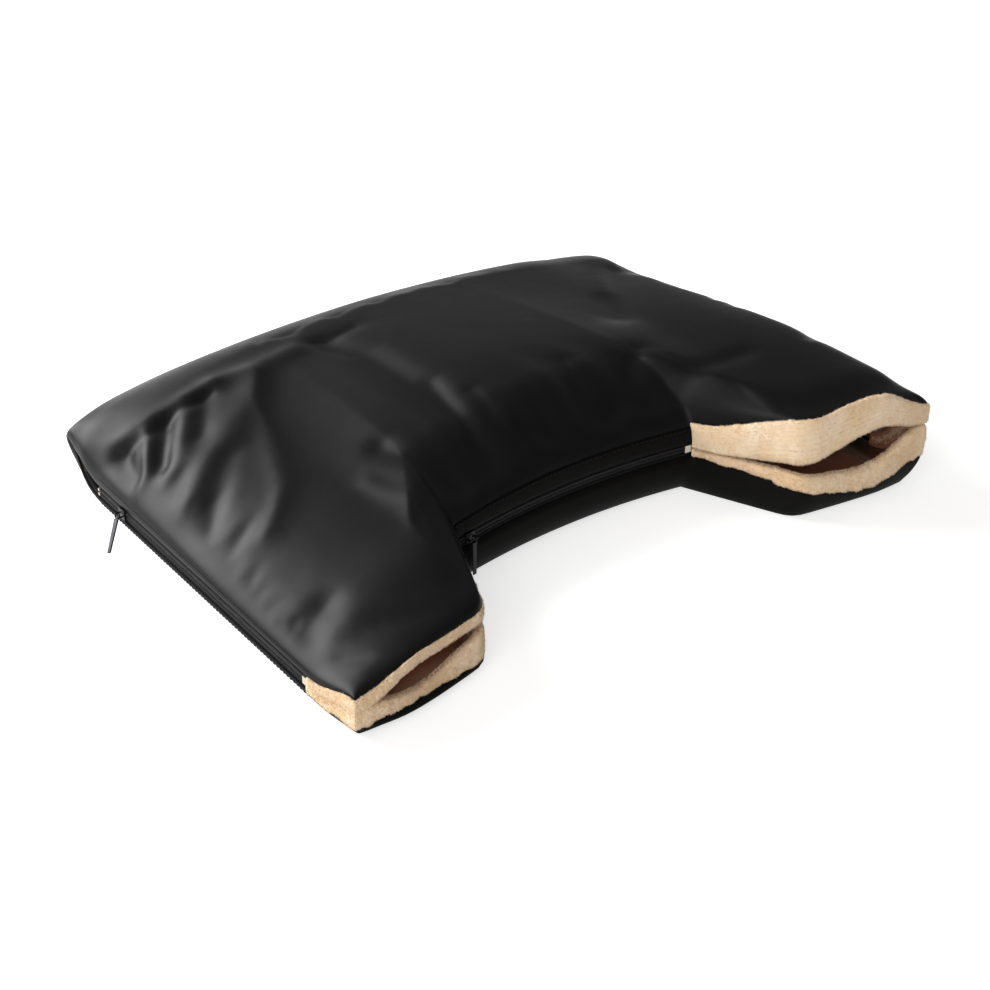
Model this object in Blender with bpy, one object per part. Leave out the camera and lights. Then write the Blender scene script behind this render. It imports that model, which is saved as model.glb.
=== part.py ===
"""A padded hand muff for a stroller's handlebar: black satin cloth outside, cream fleece inside, zips on three edges.

The frame is the muff lying on a table: X across, +Y to the rounded back, +Z up, all in metres.
Both panels are one formula of two shares: u runs across from the left edge to the right edge, and
c runs along from the front edge (the two hand openings and the front zip between them) to the back seam.
Every cloth layer is that surface, set in by its depth below the outer face.
"""
import bpy
import bmesh
import numpy as np
from math import asin, cos, hypot, pi, radians, sin
from mathutils import Matrix, Vector

# Plan of the muff
HALF_WIDTH = 0.266
MOUTH_OUTER_Y = -0.007
MOUTH_INNER_X = 0.149
MOUTH_INNER_Y = 0.011
ZIP_END_X = 0.112
ZIP_END_Y = 0.096
FRONT_ARC_RADIUS = 0.560
BACK_DEPTH = 0.434
BACK_SAGITTA = 0.031
FRONT_CORNER_INSET = 0.004
BACK_CORNER_INSET = 0.003
CORNER_SPAN = 0.045
CORNER_ROUNDING_SHARE = 0.016

# Heights of the panels at stations across: outer corner, mid mouth, inner corner, zip end
PANEL_HEIGHT = 0.098
MIDDLE_HEIGHT_SHARE = 1.0
LEFT_FRONT_HEIGHT_SHARES = (0.50, 0.58, 0.68, 0.86)
RIGHT_FRONT_HEIGHT_SHARES = (0.99, 1.0, 0.95, 0.97)
MIDDLE_BACK_HEIGHT_SHARE = 0.79
LEFT_BACK_HEIGHT_SHARES = (0.76, 0.77, 0.78, 0.79)
RIGHT_BACK_HEIGHT_SHARES = (0.71, 0.72, 0.75, 0.77)
LEFT_ROLL = 0.106
RIGHT_ROLL = 0.030
FRONT_ROLL = 0.075
RIGHT_MOUTH_ROLL_SHARES = (0.55, 0.50, 0.60, 1.0)
BACK_ROLL = 0.055
UNDER_SIDE_ROLL = 0.014
UNDER_FRONT_ROLL = 0.0125
UNDER_BACK_ROLL = 0.045
UNDER_FRONT_BULGE = 0.005
CREST_SHARE = 0.2

# Where the panels' edges meet
SIDE_ZIP_HEIGHT = 0.019
FRONT_ZIP_HEIGHT = 0.040
BACK_SEAM_HEIGHT = 0.041
MOUTH_SPLIT = 0.050
LEFT_SPLIT_SHARES = (0.50, 0.52, 0.56, 0.80)
RIGHT_SPLIT_SHARES = (1.08, 0.98, 1.0, 0.80)
MOUTH_GAPE = 0.048
LEFT_TOP_GAPE_SHARES = (0.27, 0.46, 0.44, 0.15)
RIGHT_TOP_GAPE_SHARES = (0.33, 0.83, 0.74, 0.15)
LEFT_UNDER_GAPE_SHARES = (0.27, 0.44, 0.42, 0.15)
RIGHT_UNDER_GAPE_SHARES = (0.50, 0.65, 0.46, 0.15)
ZIP_REVEAL = 0.006
SEAM_HALF_GAP = 0.00015
MOUTH_END_Y = 0.048
ZIP_TO_CORNER = 0.058
LOOP_HOLE_LENGTH = 0.028
LOOP_CLOSING_SHARE = 0.33

# Gathers and long folds in the top panel
GATHER_DEPTH = 0.003
GATHER_COUNT = 5
GATHER_PEAK = 0.022
GATHER_LENGTH = 0.110
FOLD_DEPTH = 0.006
FOLD_HALF_WIDTH = 0.013
# each fold: start and end, as shares of the half width and of the depth, and its depth share (negative is a ridge)
FOLD_SHARES = (
    ((-0.62, 0.70), (-0.36, 0.34), 1.0),
    ((-0.52, 0.45), (-0.47, 0.27), -0.5),
    ((-0.72, 0.36), (-0.58, 0.22), 0.8),
    ((-0.97, 0.83), (-0.78, 0.86), 0.9),
    ((-0.86, 0.80), (-0.84, 0.62), -0.6),
    ((-0.76, 0.84), (-0.74, 0.70), 0.7),
    ((0.14, 0.92), (0.10, 0.60), 0.6),
    ((0.62, 0.40), (0.46, 0.28), -0.5),
)

# Cloth layers
SHELL_THICKNESS = 0.0006
TAPE_THICKNESS = 0.0006
WADDING_THICKNESS = 0.0062
LINING_THICKNESS = 0.004
GAP = 0.0003
LAYER_TAPER = 0.035
PLACKET_THICKNESS = 0.0008
TAPE_SEWN_SHARE = 0.85

# Fleece cuffs round the hand openings
CUFF_GAP = 0.0005
CUFF_PROUD = 0.0015
CUFF_FALL = 0.040
LEFT_TOP_CUFF_SHARES = (0.27, 0.37, 0.33, 0.14)
RIGHT_TOP_CUFF_SHARES = (0.33, 0.66, 0.90, 0.13)
LEFT_UNDER_CUFF_SHARES = (0.18, 0.20, 0.24, 0.13)
RIGHT_UNDER_CUFF_SHARES = (0.48, 0.46, 0.36, 0.12)
CUFF_END_FALL = 0.005

# Zips
TEETH_THICKNESS = 0.0022
TEETH_NEAR = 0.0008
TEETH_FAR = 0.0030
BOX_LENGTH = 0.006
BOX_THICKNESS = 0.0028
STOP_LENGTH = 0.0022
STOP_THICKNESS = 0.0028
SLIDER_LENGTH = 0.009
SLIDER_HEIGHT = 0.0085
SLIDER_PLATE = 0.0012
SLIDER_ROOM = 0.0028
SLIDER_FLANGE = 0.0007
SLIDER_POST_WIDTH = 0.0010
SLIDER_POST_LENGTH = 0.0024
BRIDGE_BAR = 0.0012
BRIDGE_LENGTH = 0.0078
BRIDGE_STAND = 0.0034
PULL_LENGTH = 0.030
PULL_WIDTH = 0.0046
PULL_TIP_WIDTH = 0.0034
PULL_THICKNESS = 0.0014
EYE_RADIUS = 0.0022
EYE_WIRE_RADIUS = 0.0005
EDGE_BEVEL = 0.0002
SIDE_SLIDER_FROM_STOPS = 0.040
FRONT_SLIDER_FROM_STOPS = 0.015
SIDE_PULL_LEAN = radians(46.0)
SIDE_PULL_SKEW = radians(35.0)

# Grid lines of the panels: shares of each stretch across, and of the whole depth along
MOUTH_LINE_SHARES = (0.0, 0.014, 0.06, 0.16, 0.36, 0.66, 1.0)
DIAGONAL_LINE_SHARES = (0.0, 0.35, 0.7, 1.0)
ZIP_CELLS = 10
FRONT_LINE_SHARES = (0.0, 0.008, 0.025, 0.06)
MIDDLE_LINE_SHARES = (0.20, 0.30, 0.41, 0.53, 0.65, 0.76)
BACK_LINE_SHARES = (0.93, 0.965, 0.99, 0.997, 1.0)

ARC_TURN = asin(ZIP_END_X / FRONT_ARC_RADIUS)
ARC_CENTRE_Y = ZIP_END_Y - FRONT_ARC_RADIUS * cos(ARC_TURN)
FRONT_SLIDER_TURN = FRONT_SLIDER_FROM_STOPS / FRONT_ARC_RADIUS - ARC_TURN
MOUTH_LENGTH = hypot(HALF_WIDTH - MOUTH_INNER_X, MOUTH_INNER_Y - MOUTH_OUTER_Y)
DIAGONAL_LENGTH = hypot(MOUTH_INNER_X - ZIP_END_X, ZIP_END_Y - MOUTH_INNER_Y)
HALF_FRONT_LENGTH = MOUTH_LENGTH + DIAGONAL_LENGTH + FRONT_ARC_RADIUS * ARC_TURN
INNER_U = MOUTH_LENGTH / HALF_FRONT_LENGTH / 2
ZIP_U = (MOUTH_LENGTH + DIAGONAL_LENGTH) / HALF_FRONT_LENGTH / 2
SIDE_LENGTH = BACK_DEPTH - BACK_SAGITTA - MOUTH_OUTER_Y
ZIP_BACK_Y = BACK_DEPTH - BACK_SAGITTA - ZIP_TO_CORNER
SIDE_SLIDER_Y = ZIP_BACK_Y - SIDE_SLIDER_FROM_STOPS
MOUTH_C = (MOUTH_END_Y - MOUTH_OUTER_Y) / SIDE_LENGTH
ZIP_BACK_C = (ZIP_BACK_Y - MOUTH_OUTER_Y) / SIDE_LENGTH
LOOP_C = (ZIP_BACK_Y + LOOP_HOLE_LENGTH - MOUTH_OUTER_Y) / SIDE_LENGTH
TEETH_DEPTH = SHELL_THICKNESS + GAP + TAPE_THICKNESS / 2
SHELF_DEPTH = SHELL_THICKNESS + 2 * GAP + TAPE_THICKNESS
CUFF_DEPTH = SHELF_DEPTH + LINING_THICKNESS


def ease(x):
    """0 below 0, 1 above 1, and a smooth step between."""
    x = np.clip(x, 0, 1)
    return x * x * (3 - 2 * x)


def quarter(x):
    """A quarter circle's rise: upright at 0, level from 1 on."""
    return np.sqrt(1 - (1 - np.clip(x, 0, 1)) ** 2)


def through(stations, values, x):
    """A smooth curve through the values that never swings past them."""
    stations, values = np.array(stations), np.array(values)
    run = np.diff(stations)
    slope = np.diff(values) / run
    tangent = np.zeros_like(values)
    same_way = slope[:-1] * slope[1:] > 0
    mean = 2 * slope[:-1] * slope[1:] / np.where(same_way, slope[:-1] + slope[1:], 1)
    tangent[1:-1] = np.where(same_way, mean, 0)
    cell = np.clip(np.searchsorted(stations, x, side="right") - 1, 0, len(run) - 1)
    t = (x - stations[cell]) / run[cell]
    start, end = values[cell], values[cell + 1]
    bend_in, bend_out = tangent[cell] * run[cell], tangent[cell + 1] * run[cell]
    return (start * (1 + 2 * t) * (1 - t) ** 2 + bend_in * t * (1 - t) ** 2
            + end * t * t * (3 - 2 * t) + bend_out * t * t * (t - 1))


def across(u, left, middle, right):
    """Values at four stations from each outer corner and one in the middle, read at the share u."""
    stations = (0, INNER_U / 2, INNER_U, ZIP_U, 0.5, 1 - ZIP_U, 1 - INNER_U, 1 - INNER_U / 2, 1)
    return through(stations, (*left, middle, *right[::-1]), u)


def scaled(shares, size):
    return tuple(share * size for share in shares)


def front_edge(u):
    """Plan of the front edge: straight mouth, straight diagonal, then the zip's arc, mirrored about the middle."""
    along = (0.5 - np.abs(u - 0.5)) * 2 * HALF_FRONT_LENGTH
    mouth = along / MOUTH_LENGTH
    diagonal = (along - MOUTH_LENGTH) / DIAGONAL_LENGTH
    turn = (HALF_FRONT_LENGTH - along) / FRONT_ARC_RADIUS
    on_mouth, on_diagonal = mouth < 1, diagonal < 1
    x = np.where(on_mouth, HALF_WIDTH + (MOUTH_INNER_X - HALF_WIDTH) * mouth,
                 np.where(on_diagonal, MOUTH_INNER_X + (ZIP_END_X - MOUTH_INNER_X) * diagonal,
                          FRONT_ARC_RADIUS * np.sin(turn)))
    y = np.where(on_mouth, MOUTH_OUTER_Y + (MOUTH_INNER_Y - MOUTH_OUTER_Y) * mouth,
                 np.where(on_diagonal, MOUTH_INNER_Y + (ZIP_END_Y - MOUTH_INNER_Y) * diagonal,
                          ARC_CENTRE_Y + FRONT_ARC_RADIUS * np.cos(turn)))
    return np.stack([np.where(u < 0.5, -x, x), y], -1)


def rounded_front_edge(u):
    """The front edge averaged over a short stretch round the inner corner, which rounds it off."""
    reach = np.minimum(CORNER_ROUNDING_SHARE, np.abs(np.abs(u - 0.5) - (0.5 - ZIP_U)))
    reach = np.where((u > ZIP_U) & (u < 1 - ZIP_U), 0, np.minimum(reach, np.minimum(u, 1 - u)))
    steps = np.linspace(-1, 1, 9)
    return sum(front_edge(u + step * reach) for step in steps) / len(steps)


def across_normal(line, u):
    """Unit normals in plan of a line drawn from left to right, on its +Y side."""
    step = 1e-4
    travel = line(np.minimum(u + step, 1)) - line(np.maximum(u - step, 0))
    normal = np.stack([-travel[..., 1], travel[..., 0]], -1)
    return normal / np.linalg.norm(normal, axis=-1, keepdims=True)


def back_edge(u):
    x = HALF_WIDTH * (2 * u - 1)
    return np.stack([x, BACK_DEPTH - BACK_SAGITTA * (x / HALF_WIDTH) ** 2], -1)


def plan(u, c):
    """Place in plan, and for each edge (front, back, left, right) the distance from it and its inward normal."""
    front, back = rounded_front_edge(u), back_edge(u)
    place = front + (back - front) * c[..., None]
    length = np.linalg.norm(back - front, axis=-1)
    left, right = place[..., 0] + HALF_WIDTH, HALF_WIDTH - place[..., 0]
    for side, inward in ((left, 1), (right, -1)):
        near_side = 1 - ease(side / CORNER_SPAN)
        near_front = near_side * (1 - ease(c * length / CORNER_SPAN))
        near_back = near_side * (1 - ease((1 - c) * length / CORNER_SPAN))
        place[..., 0] += inward * (near_front * FRONT_CORNER_INSET + near_back * BACK_CORNER_INSET)
        place[..., 1] += near_front * FRONT_CORNER_INSET - near_back * BACK_CORNER_INSET
    edges = ((c * length, across_normal(rounded_front_edge, u)), ((1 - c) * length, -across_normal(back_edge, u)),
             (left, np.array([1, 0])), (right, np.array([-1, 0])))
    return place, edges


def roll_over(edges, rolls):
    """How far a panel has risen from its edges, 0 to 1, and the level part of the way to its inside."""
    rises = [quarter(distance / roll) for (distance, _), roll in zip(edges, rolls)]
    rise = sum(np.maximum(part, 1e-6) ** -2 - 1 for part in rises)
    rise = (rise + 1) ** -0.5
    rise = np.where(np.min(rises, axis=0) > 0, rise, 0)
    level = sum((1 - part)[..., None] * normal for part, (_, normal) in zip(rises, edges))
    size = np.maximum(np.linalg.norm(level, axis=-1), 1e-9)
    return rise, level / size[..., None] * np.sqrt(1 - rise ** 2)[..., None]


def edge_heights(u, c):
    """Heights of the line where the panels part, and of each panel's own edge above and below it."""
    mouth = 1 - ease(c / MOUTH_C)
    rise = ease((c - ZIP_BACK_C) / (1 - ZIP_BACK_C))
    sewn = ease((c - LOOP_C) / (1 - LOOP_C) / LOOP_CLOSING_SHARE)
    split = across(u, scaled(LEFT_SPLIT_SHARES, MOUTH_SPLIT), FRONT_ZIP_HEIGHT, scaled(RIGHT_SPLIT_SHARES, MOUTH_SPLIT))
    on_zip = (u > ZIP_U - 1e-6) & (u < 1 - ZIP_U + 1e-6)
    split = np.where(on_zip, FRONT_ZIP_HEIGHT, split)
    split = SIDE_ZIP_HEIGHT + (split - SIDE_ZIP_HEIGHT) * mouth + (BACK_SEAM_HEIGHT - SIDE_ZIP_HEIGHT) * rise
    edges = []
    for left, right in ((LEFT_TOP_GAPE_SHARES, RIGHT_TOP_GAPE_SHARES), (LEFT_UNDER_GAPE_SHARES, RIGHT_UNDER_GAPE_SHARES)):
        gape = across(u, scaled(left, MOUTH_GAPE), ZIP_REVEAL, scaled(right, MOUTH_GAPE))
        gape = np.where(on_zip, ZIP_REVEAL, gape)
        edges.append((ZIP_REVEAL + (gape - ZIP_REVEAL) * mouth) * (1 - sewn) + SEAM_HALF_GAP * sewn)
    return split, split + edges[0], split - edges[1]


def folds(place):
    """How far the long folds sink the top panel: a smooth trough beside each fold's line."""
    sunk = 0
    for start, end, depth_share in FOLD_SHARES:
        a = np.array([start[0] * HALF_WIDTH, start[1] * BACK_DEPTH])
        b = np.array([end[0] * HALF_WIDTH, end[1] * BACK_DEPTH])
        t = np.clip(((place - a) @ (b - a)) / ((b - a) @ (b - a)), 0, 1)
        away = np.linalg.norm(place - (a + (b - a) * t[..., None]), axis=-1)
        sunk = sunk + depth_share * FOLD_DEPTH * np.exp(-(away / FOLD_HALF_WIDTH) ** 2)
    return sunk


def top_skin(u, c):
    """Outer face of the top panel, which rises from its edge in quarter rounds to the crest, and the way inside."""
    place, edges = plan(u, c)
    edge = edge_heights(u, c)[1]
    near = across(u, scaled(LEFT_FRONT_HEIGHT_SHARES, PANEL_HEIGHT), MIDDLE_HEIGHT_SHARE * PANEL_HEIGHT,
                  scaled(RIGHT_FRONT_HEIGHT_SHARES, PANEL_HEIGHT))
    far = across(u, scaled(LEFT_BACK_HEIGHT_SHARES, PANEL_HEIGHT), MIDDLE_BACK_HEIGHT_SHARE * PANEL_HEIGHT,
                 scaled(RIGHT_BACK_HEIGHT_SHARES, PANEL_HEIGHT))
    height = near + (far - near) * ease((c - CREST_SHARE) / (1 - CREST_SHARE))
    front_roll = across(u, (FRONT_ROLL,) * 4, FRONT_ROLL, scaled(RIGHT_MOUTH_ROLL_SHARES, FRONT_ROLL))
    rise, level = roll_over(edges, (front_roll, BACK_ROLL, LEFT_ROLL, RIGHT_ROLL))
    front = edges[0][0]
    zip_share = np.clip((u - ZIP_U) / (1 - 2 * ZIP_U), 0, 1)
    waves = (1 - np.cos(2 * pi * GATHER_COUNT * zip_share)) / 2
    gathers = GATHER_DEPTH * waves * ease(front / GATHER_PEAK) * (1 - ease((front - GATHER_PEAK) / GATHER_LENGTH))
    nearest = np.min([distance for distance, _ in edges], axis=0)
    z = edge + (height - edge) * rise - gathers - folds(place) * ease(2 * nearest / FRONT_ROLL)
    return np.concatenate([place, z[..., None]], -1), np.concatenate([level, -rise[..., None]], -1)


def bottom_skin(u, c):
    """Outer face of the bottom panel, flat on the table and turned up at its edges, and the way inside."""
    place, edges = plan(u, c)
    front, front_normal = edges[0]
    over_zip = ease((0.5 - np.abs(u - 0.5) - INNER_U) / (ZIP_U - INNER_U))
    upright = quarter(front / UNDER_FRONT_ROLL)
    place = place - front_normal * (4 * UNDER_FRONT_BULGE * over_zip * upright * (1 - upright))[..., None]
    edge = edge_heights(u, c)[2]
    fall, level = roll_over(edges, (UNDER_FRONT_ROLL, UNDER_BACK_ROLL, UNDER_SIDE_ROLL, UNDER_SIDE_ROLL))
    z = edge * (1 - fall)
    return np.concatenate([place, z[..., None]], -1), np.concatenate([level, fall[..., None]], -1)


def grid_lines():
    """Shares u across and c along at which every layer has its grid lines."""
    mouth = [share * INNER_U for share in MOUTH_LINE_SHARES]
    diagonal = [INNER_U + share * (ZIP_U - INNER_U) for share in DIAGONAL_LINE_SHARES]
    arc = list(np.linspace(ZIP_U, 1 - ZIP_U, ZIP_CELLS + 1))
    left = mouth + diagonal[1:]
    u = left + arc[1:-1] + [1 - share for share in reversed(left)]
    c = [*FRONT_LINE_SHARES, MOUTH_C, *MIDDLE_LINE_SHARES, ZIP_BACK_C, *BACK_LINE_SHARES]
    return np.array(u), np.array(c), len(left) - 1


U_LINES, C_LINES, ZIP_LINE = grid_lines()
MOUTH_ROW = len(FRONT_LINE_SHARES)
ZIP_BACK_ROW = MOUTH_ROW + len(MIDDLE_LINE_SHARES) + 1


def skin_grid(skin):
    """A panel's outer points on the grid lines, and the unit way inside at each."""
    u, c = np.meshgrid(U_LINES, C_LINES, indexing="ij")
    return skin(u, c)


def layer_depths(full_depth):
    """Depth of a layer's face below the outer skin: shallow along the edges, full once past the taper."""
    u, c = np.meshgrid(U_LINES, C_LINES, indexing="ij")
    nearest = np.min([distance for distance, _ in plan(u, c)[1]], axis=0)
    return SHELF_DEPTH + (full_depth - SHELF_DEPTH) * ease(nearest / LAYER_TAPER)


def new_material(name, colour, roughness, metallic=0.0):
    material = bpy.data.materials.new(name)
    material.use_nodes = True
    shader = material.node_tree.nodes["Principled BSDF"]
    shader.inputs["Base Color"].default_value = (*colour, 1)
    shader.inputs["Roughness"].default_value = roughness
    shader.inputs["Metallic"].default_value = metallic
    return material


def new_object(name, mesh, material, parent=None):
    obj = bpy.data.objects.new(name, mesh)
    PARTS.objects.link(obj)
    obj.parent = parent or ROOT
    obj.data.materials.append(material)
    return obj


def slab(name, outer, inner, material):
    """A sheet with thickness: an outer grid of points, an inner one, and a rim that joins their edges.

    Each cell is two triangles, cut the same way on every layer, so that neighbouring layers stay apart."""
    rows, columns = outer.shape[:2]
    index = np.arange(rows * columns).reshape(rows, columns)
    first, second, third, fourth = index[:-1, :-1], index[1:, :-1], index[1:, 1:], index[:-1, 1:]
    sheet = np.concatenate([np.stack([first, second, third], -1).reshape(-1, 3),
                            np.stack([first, third, fourth], -1).reshape(-1, 3)])
    rim = np.concatenate([index[:-1, 0], index[-1, :-1], index[:0:-1, -1], index[0, :0:-1]])
    following = np.roll(rim, -1)
    offset = rows * columns
    walls = np.stack([following, rim, rim + offset, following + offset], -1)
    faces = sheet.tolist() + (sheet[:, ::-1] + offset).tolist() + walls.tolist()
    if np.mean(outer[..., 2] - inner[..., 2]) < 0:
        faces = [face[::-1] for face in faces]
    mesh = bpy.data.meshes.new(name)
    mesh.from_pydata(np.concatenate([outer.reshape(-1, 3), inner.reshape(-1, 3)]).tolist(), [], faces)
    mesh.shade_smooth()
    mesh.set_sharp_from_angle(angle=radians(50))
    return new_object(name, mesh, material)


def loft(name, rings, material, parent=None):
    """A solid carried through a row of closed sections that have the same number of points."""
    count, points = rings.shape[:2]
    index = np.arange(count * points).reshape(count, points)
    turned = np.roll(index, -1, axis=1)
    sides = np.stack([index[:-1], turned[:-1], turned[1:], index[1:]], -1).reshape(-1, 4)
    caps = [index[0, ::-1].tolist(), index[-1].tolist()]
    mesh = bpy.data.meshes.new(name)
    mesh.from_pydata(rings.reshape(-1, 3).tolist(), [], sides.tolist() + caps)
    face_out(mesh)
    return new_object(name, mesh, material, parent)


def face_out(mesh):
    bm = bmesh.new()
    bm.from_mesh(mesh)
    bmesh.ops.recalc_face_normals(bm, faces=bm.faces)
    bm.to_mesh(mesh)
    bm.free()


def make_panel(side, skin):
    """Shell, wadding and fleece lining of one panel, each a grid set in from the same outer skin."""
    points, inside = skin_grid(skin)
    lining = layer_depths(SHELL_THICKNESS + WADDING_THICKNESS + 2 * GAP)[..., None]
    slab(f"{side}_shell", points, points + inside * SHELL_THICKNESS, SATIN)
    inset = slice(1, -1)
    near, far = points + inside * (SHELL_THICKNESS + GAP), points + inside * (lining - GAP)
    slab(f"{side}_wadding", near[inset, inset], far[inset, inset], WADDING)
    slab(f"{side}_lining", points + inside * lining, points + inside * (lining + LINING_THICKNESS), FLEECE)


def mouth_path(skin, right):
    """Edge points and outward directions of a panel round one hand opening, from the front zip to the side zip."""
    points, inside = skin_grid(skin)
    columns = np.arange(ZIP_LINE, -1, -1)
    if right:
        columns = len(U_LINES) - 1 - columns
    edge = np.concatenate([points[columns, 0], points[columns[-1], 1:MOUTH_ROW + 1]])
    out = -np.concatenate([inside[columns, 0], inside[columns[-1], 1:MOUTH_ROW + 1]])
    travel = np.diff(edge, axis=0)
    edge[0] += travel[0] / np.linalg.norm(travel[0]) * GAP
    edge[-1] -= travel[-1] / np.linalg.norm(travel[-1]) * GAP
    return edge, out


def cuff_falls(shares, right):
    """How far a cuff stands off its panel's edge, at each point of the mouth's path."""
    stations = U_LINES[ZIP_LINE::-1]
    front = across(stations, scaled(shares, CUFF_FALL), CUFF_END_FALL, scaled(shares, CUFF_FALL))
    along = C_LINES[1:MOUTH_ROW + 1]
    side = CUFF_END_FALL + (front[-1] - CUFF_END_FALL) * (1 - ease(along / MOUTH_C))
    return np.concatenate([front, side])


# outline of a cuff: shares of its proudness or depth outward, and of its fall
CUFF_OUT_SHARES = (0.2, 1.0, 1.0, 0.2)
CUFF_OUT_FALL_SHARES = (0.0, 0.22, 0.72, 0.94)
CUFF_IN_SHARES = (0.30, 0.72, 1.0, 1.0)
CUFF_IN_FALL_SHARES = (1.0, 0.96, 0.70, 0.0)


def make_cuff(name, skin, right, shares):
    """A band of fleece that lengthens a panel's edge at a hand opening, its free lip rounded."""
    edge, out = mouth_path(skin, right)
    fall = cuff_falls(shares, right)
    way = -1 if skin is top_skin else 1
    level = [share * CUFF_PROUD for share in CUFF_OUT_SHARES] + [-share * CUFF_DEPTH for share in CUFF_IN_SHARES]
    rings = []
    for distance, fall_share in zip(level, CUFF_OUT_FALL_SHARES + CUFF_IN_FALL_SHARES):
        point = edge + out * distance
        point[:, 2] += way * (CUFF_GAP + fall * fall_share)
        rings.append(point)
    loft(name, np.stack(rings, 1), FLEECE).data.shade_smooth()


def edge_strip(name, place, lines, depth, thickness, material):
    """A strip of cloth along a zip, at a depth below the panel's outer face.

    lines run from the panel's edge inward, each as points and outward directions."""
    if place == "right":
        lines = lines[::-1]
    points, out = (np.stack(part, 1 if place == "front" else 0) for part in zip(*lines))
    slab(name, points - out * depth, points - out * (depth + thickness), material)


def zip_grid(skin, place):
    """Edge line and next line of a panel where a zip is sewn in: place is left, right or front."""
    points, inside = skin_grid(skin)
    if place == "front":
        columns = slice(ZIP_LINE, len(U_LINES) - ZIP_LINE)
        return [(points[columns, row], -inside[columns, row]) for row in (0, 1)]
    rows = slice(MOUTH_ROW, ZIP_BACK_ROW + 1)
    lines = (0, 1) if place == "left" else (-1, -2)
    return [(points[line, rows], -inside[line, rows]) for line in lines]


def make_tape(name, skin, place):
    """One zip tape: its bare edge stands beside the teeth, the rest is sewn in behind the shell."""
    (edge, out), (following, following_out) = zip_grid(skin, place)
    sewn, sewn_out = (a + (b - a) * TAPE_SEWN_SHARE for a, b in ((edge, following), (out, following_out)))
    bare = edge.copy()
    way = -1 if skin is top_skin else 1
    bare[:, 2] += way * (ZIP_REVEAL - TEETH_FAR - GAP)
    lines = [(bare, out), (edge, out), (sewn, sewn_out)]
    edge_strip(name, place, lines, SHELL_THICKNESS + GAP, TAPE_THICKNESS, BLACK_TAPE)


def zip_frame(place, along):
    """A zip's centre line and its outward direction at a distance along it (or a turn, on the front zip)."""
    if place == "front":
        out = Vector((-sin(along), -cos(along), 0))
        return Vector((0, ARC_CENTRE_Y, FRONT_ZIP_HEIGHT)) - out * (FRONT_ARC_RADIUS + TEETH_DEPTH), out
    side = -1 if place == "left" else 1
    return Vector((side * (HALF_WIDTH - TEETH_DEPTH), along, SIDE_ZIP_HEIGHT)), Vector((side, 0, 0))


def teeth_rings(place, stations, low, high, thickness):
    """Square sections of a strip that follows a zip's centre line between two heights off it."""
    rings = []
    for along in stations:
        centre, out = zip_frame(place, along)
        corners = ((1, low), (1, high), (-1, high), (-1, low))
        rings.append([centre + out * (way * thickness / 2) + Vector((0, 0, height)) for way, height in corners])
    return np.array(rings)


def box_piece(size, centre):
    """A bevelled box as a bmesh, its sides along a zip's forward, upward and outward directions."""
    bm = bmesh.new()
    bmesh.ops.create_cube(bm, size=1)
    bmesh.ops.scale(bm, vec=size, verts=bm.verts)
    bmesh.ops.bevel(bm, geom=bm.edges, offset=EDGE_BEVEL, segments=1, affect="EDGES")
    bmesh.ops.translate(bm, vec=centre, verts=bm.verts)
    return bm


def helper(name, bm):
    mesh = bpy.data.meshes.new(name)
    bm.to_mesh(mesh)
    bm.free()
    obj = bpy.data.objects.new(name, mesh)
    HELPERS.objects.link(obj)
    obj.hide_render = True
    obj.display_type = "WIRE"
    obj.parent = ROOT
    return obj


def joined(name, pieces, material, parent, turn):
    """Several closed shapes united into one object, all drawn in the parent's axes after a turn."""
    first = helper(name, pieces[0])
    HELPERS.objects.unlink(first)
    PARTS.objects.link(first)
    first.hide_render = False
    first.display_type = "TEXTURED"
    first.data.materials.append(material)
    first.parent = parent
    first.matrix_local = turn
    for number, bm in enumerate(pieces[1:], 1):
        other = helper(f"{name}_piece_{number}", bm)
        other.parent = parent
        other.matrix_local = turn
        union = first.modifiers.new(f"join {number}", "BOOLEAN")
        union.operation = "UNION"
        union.object = other
    return first


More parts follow.
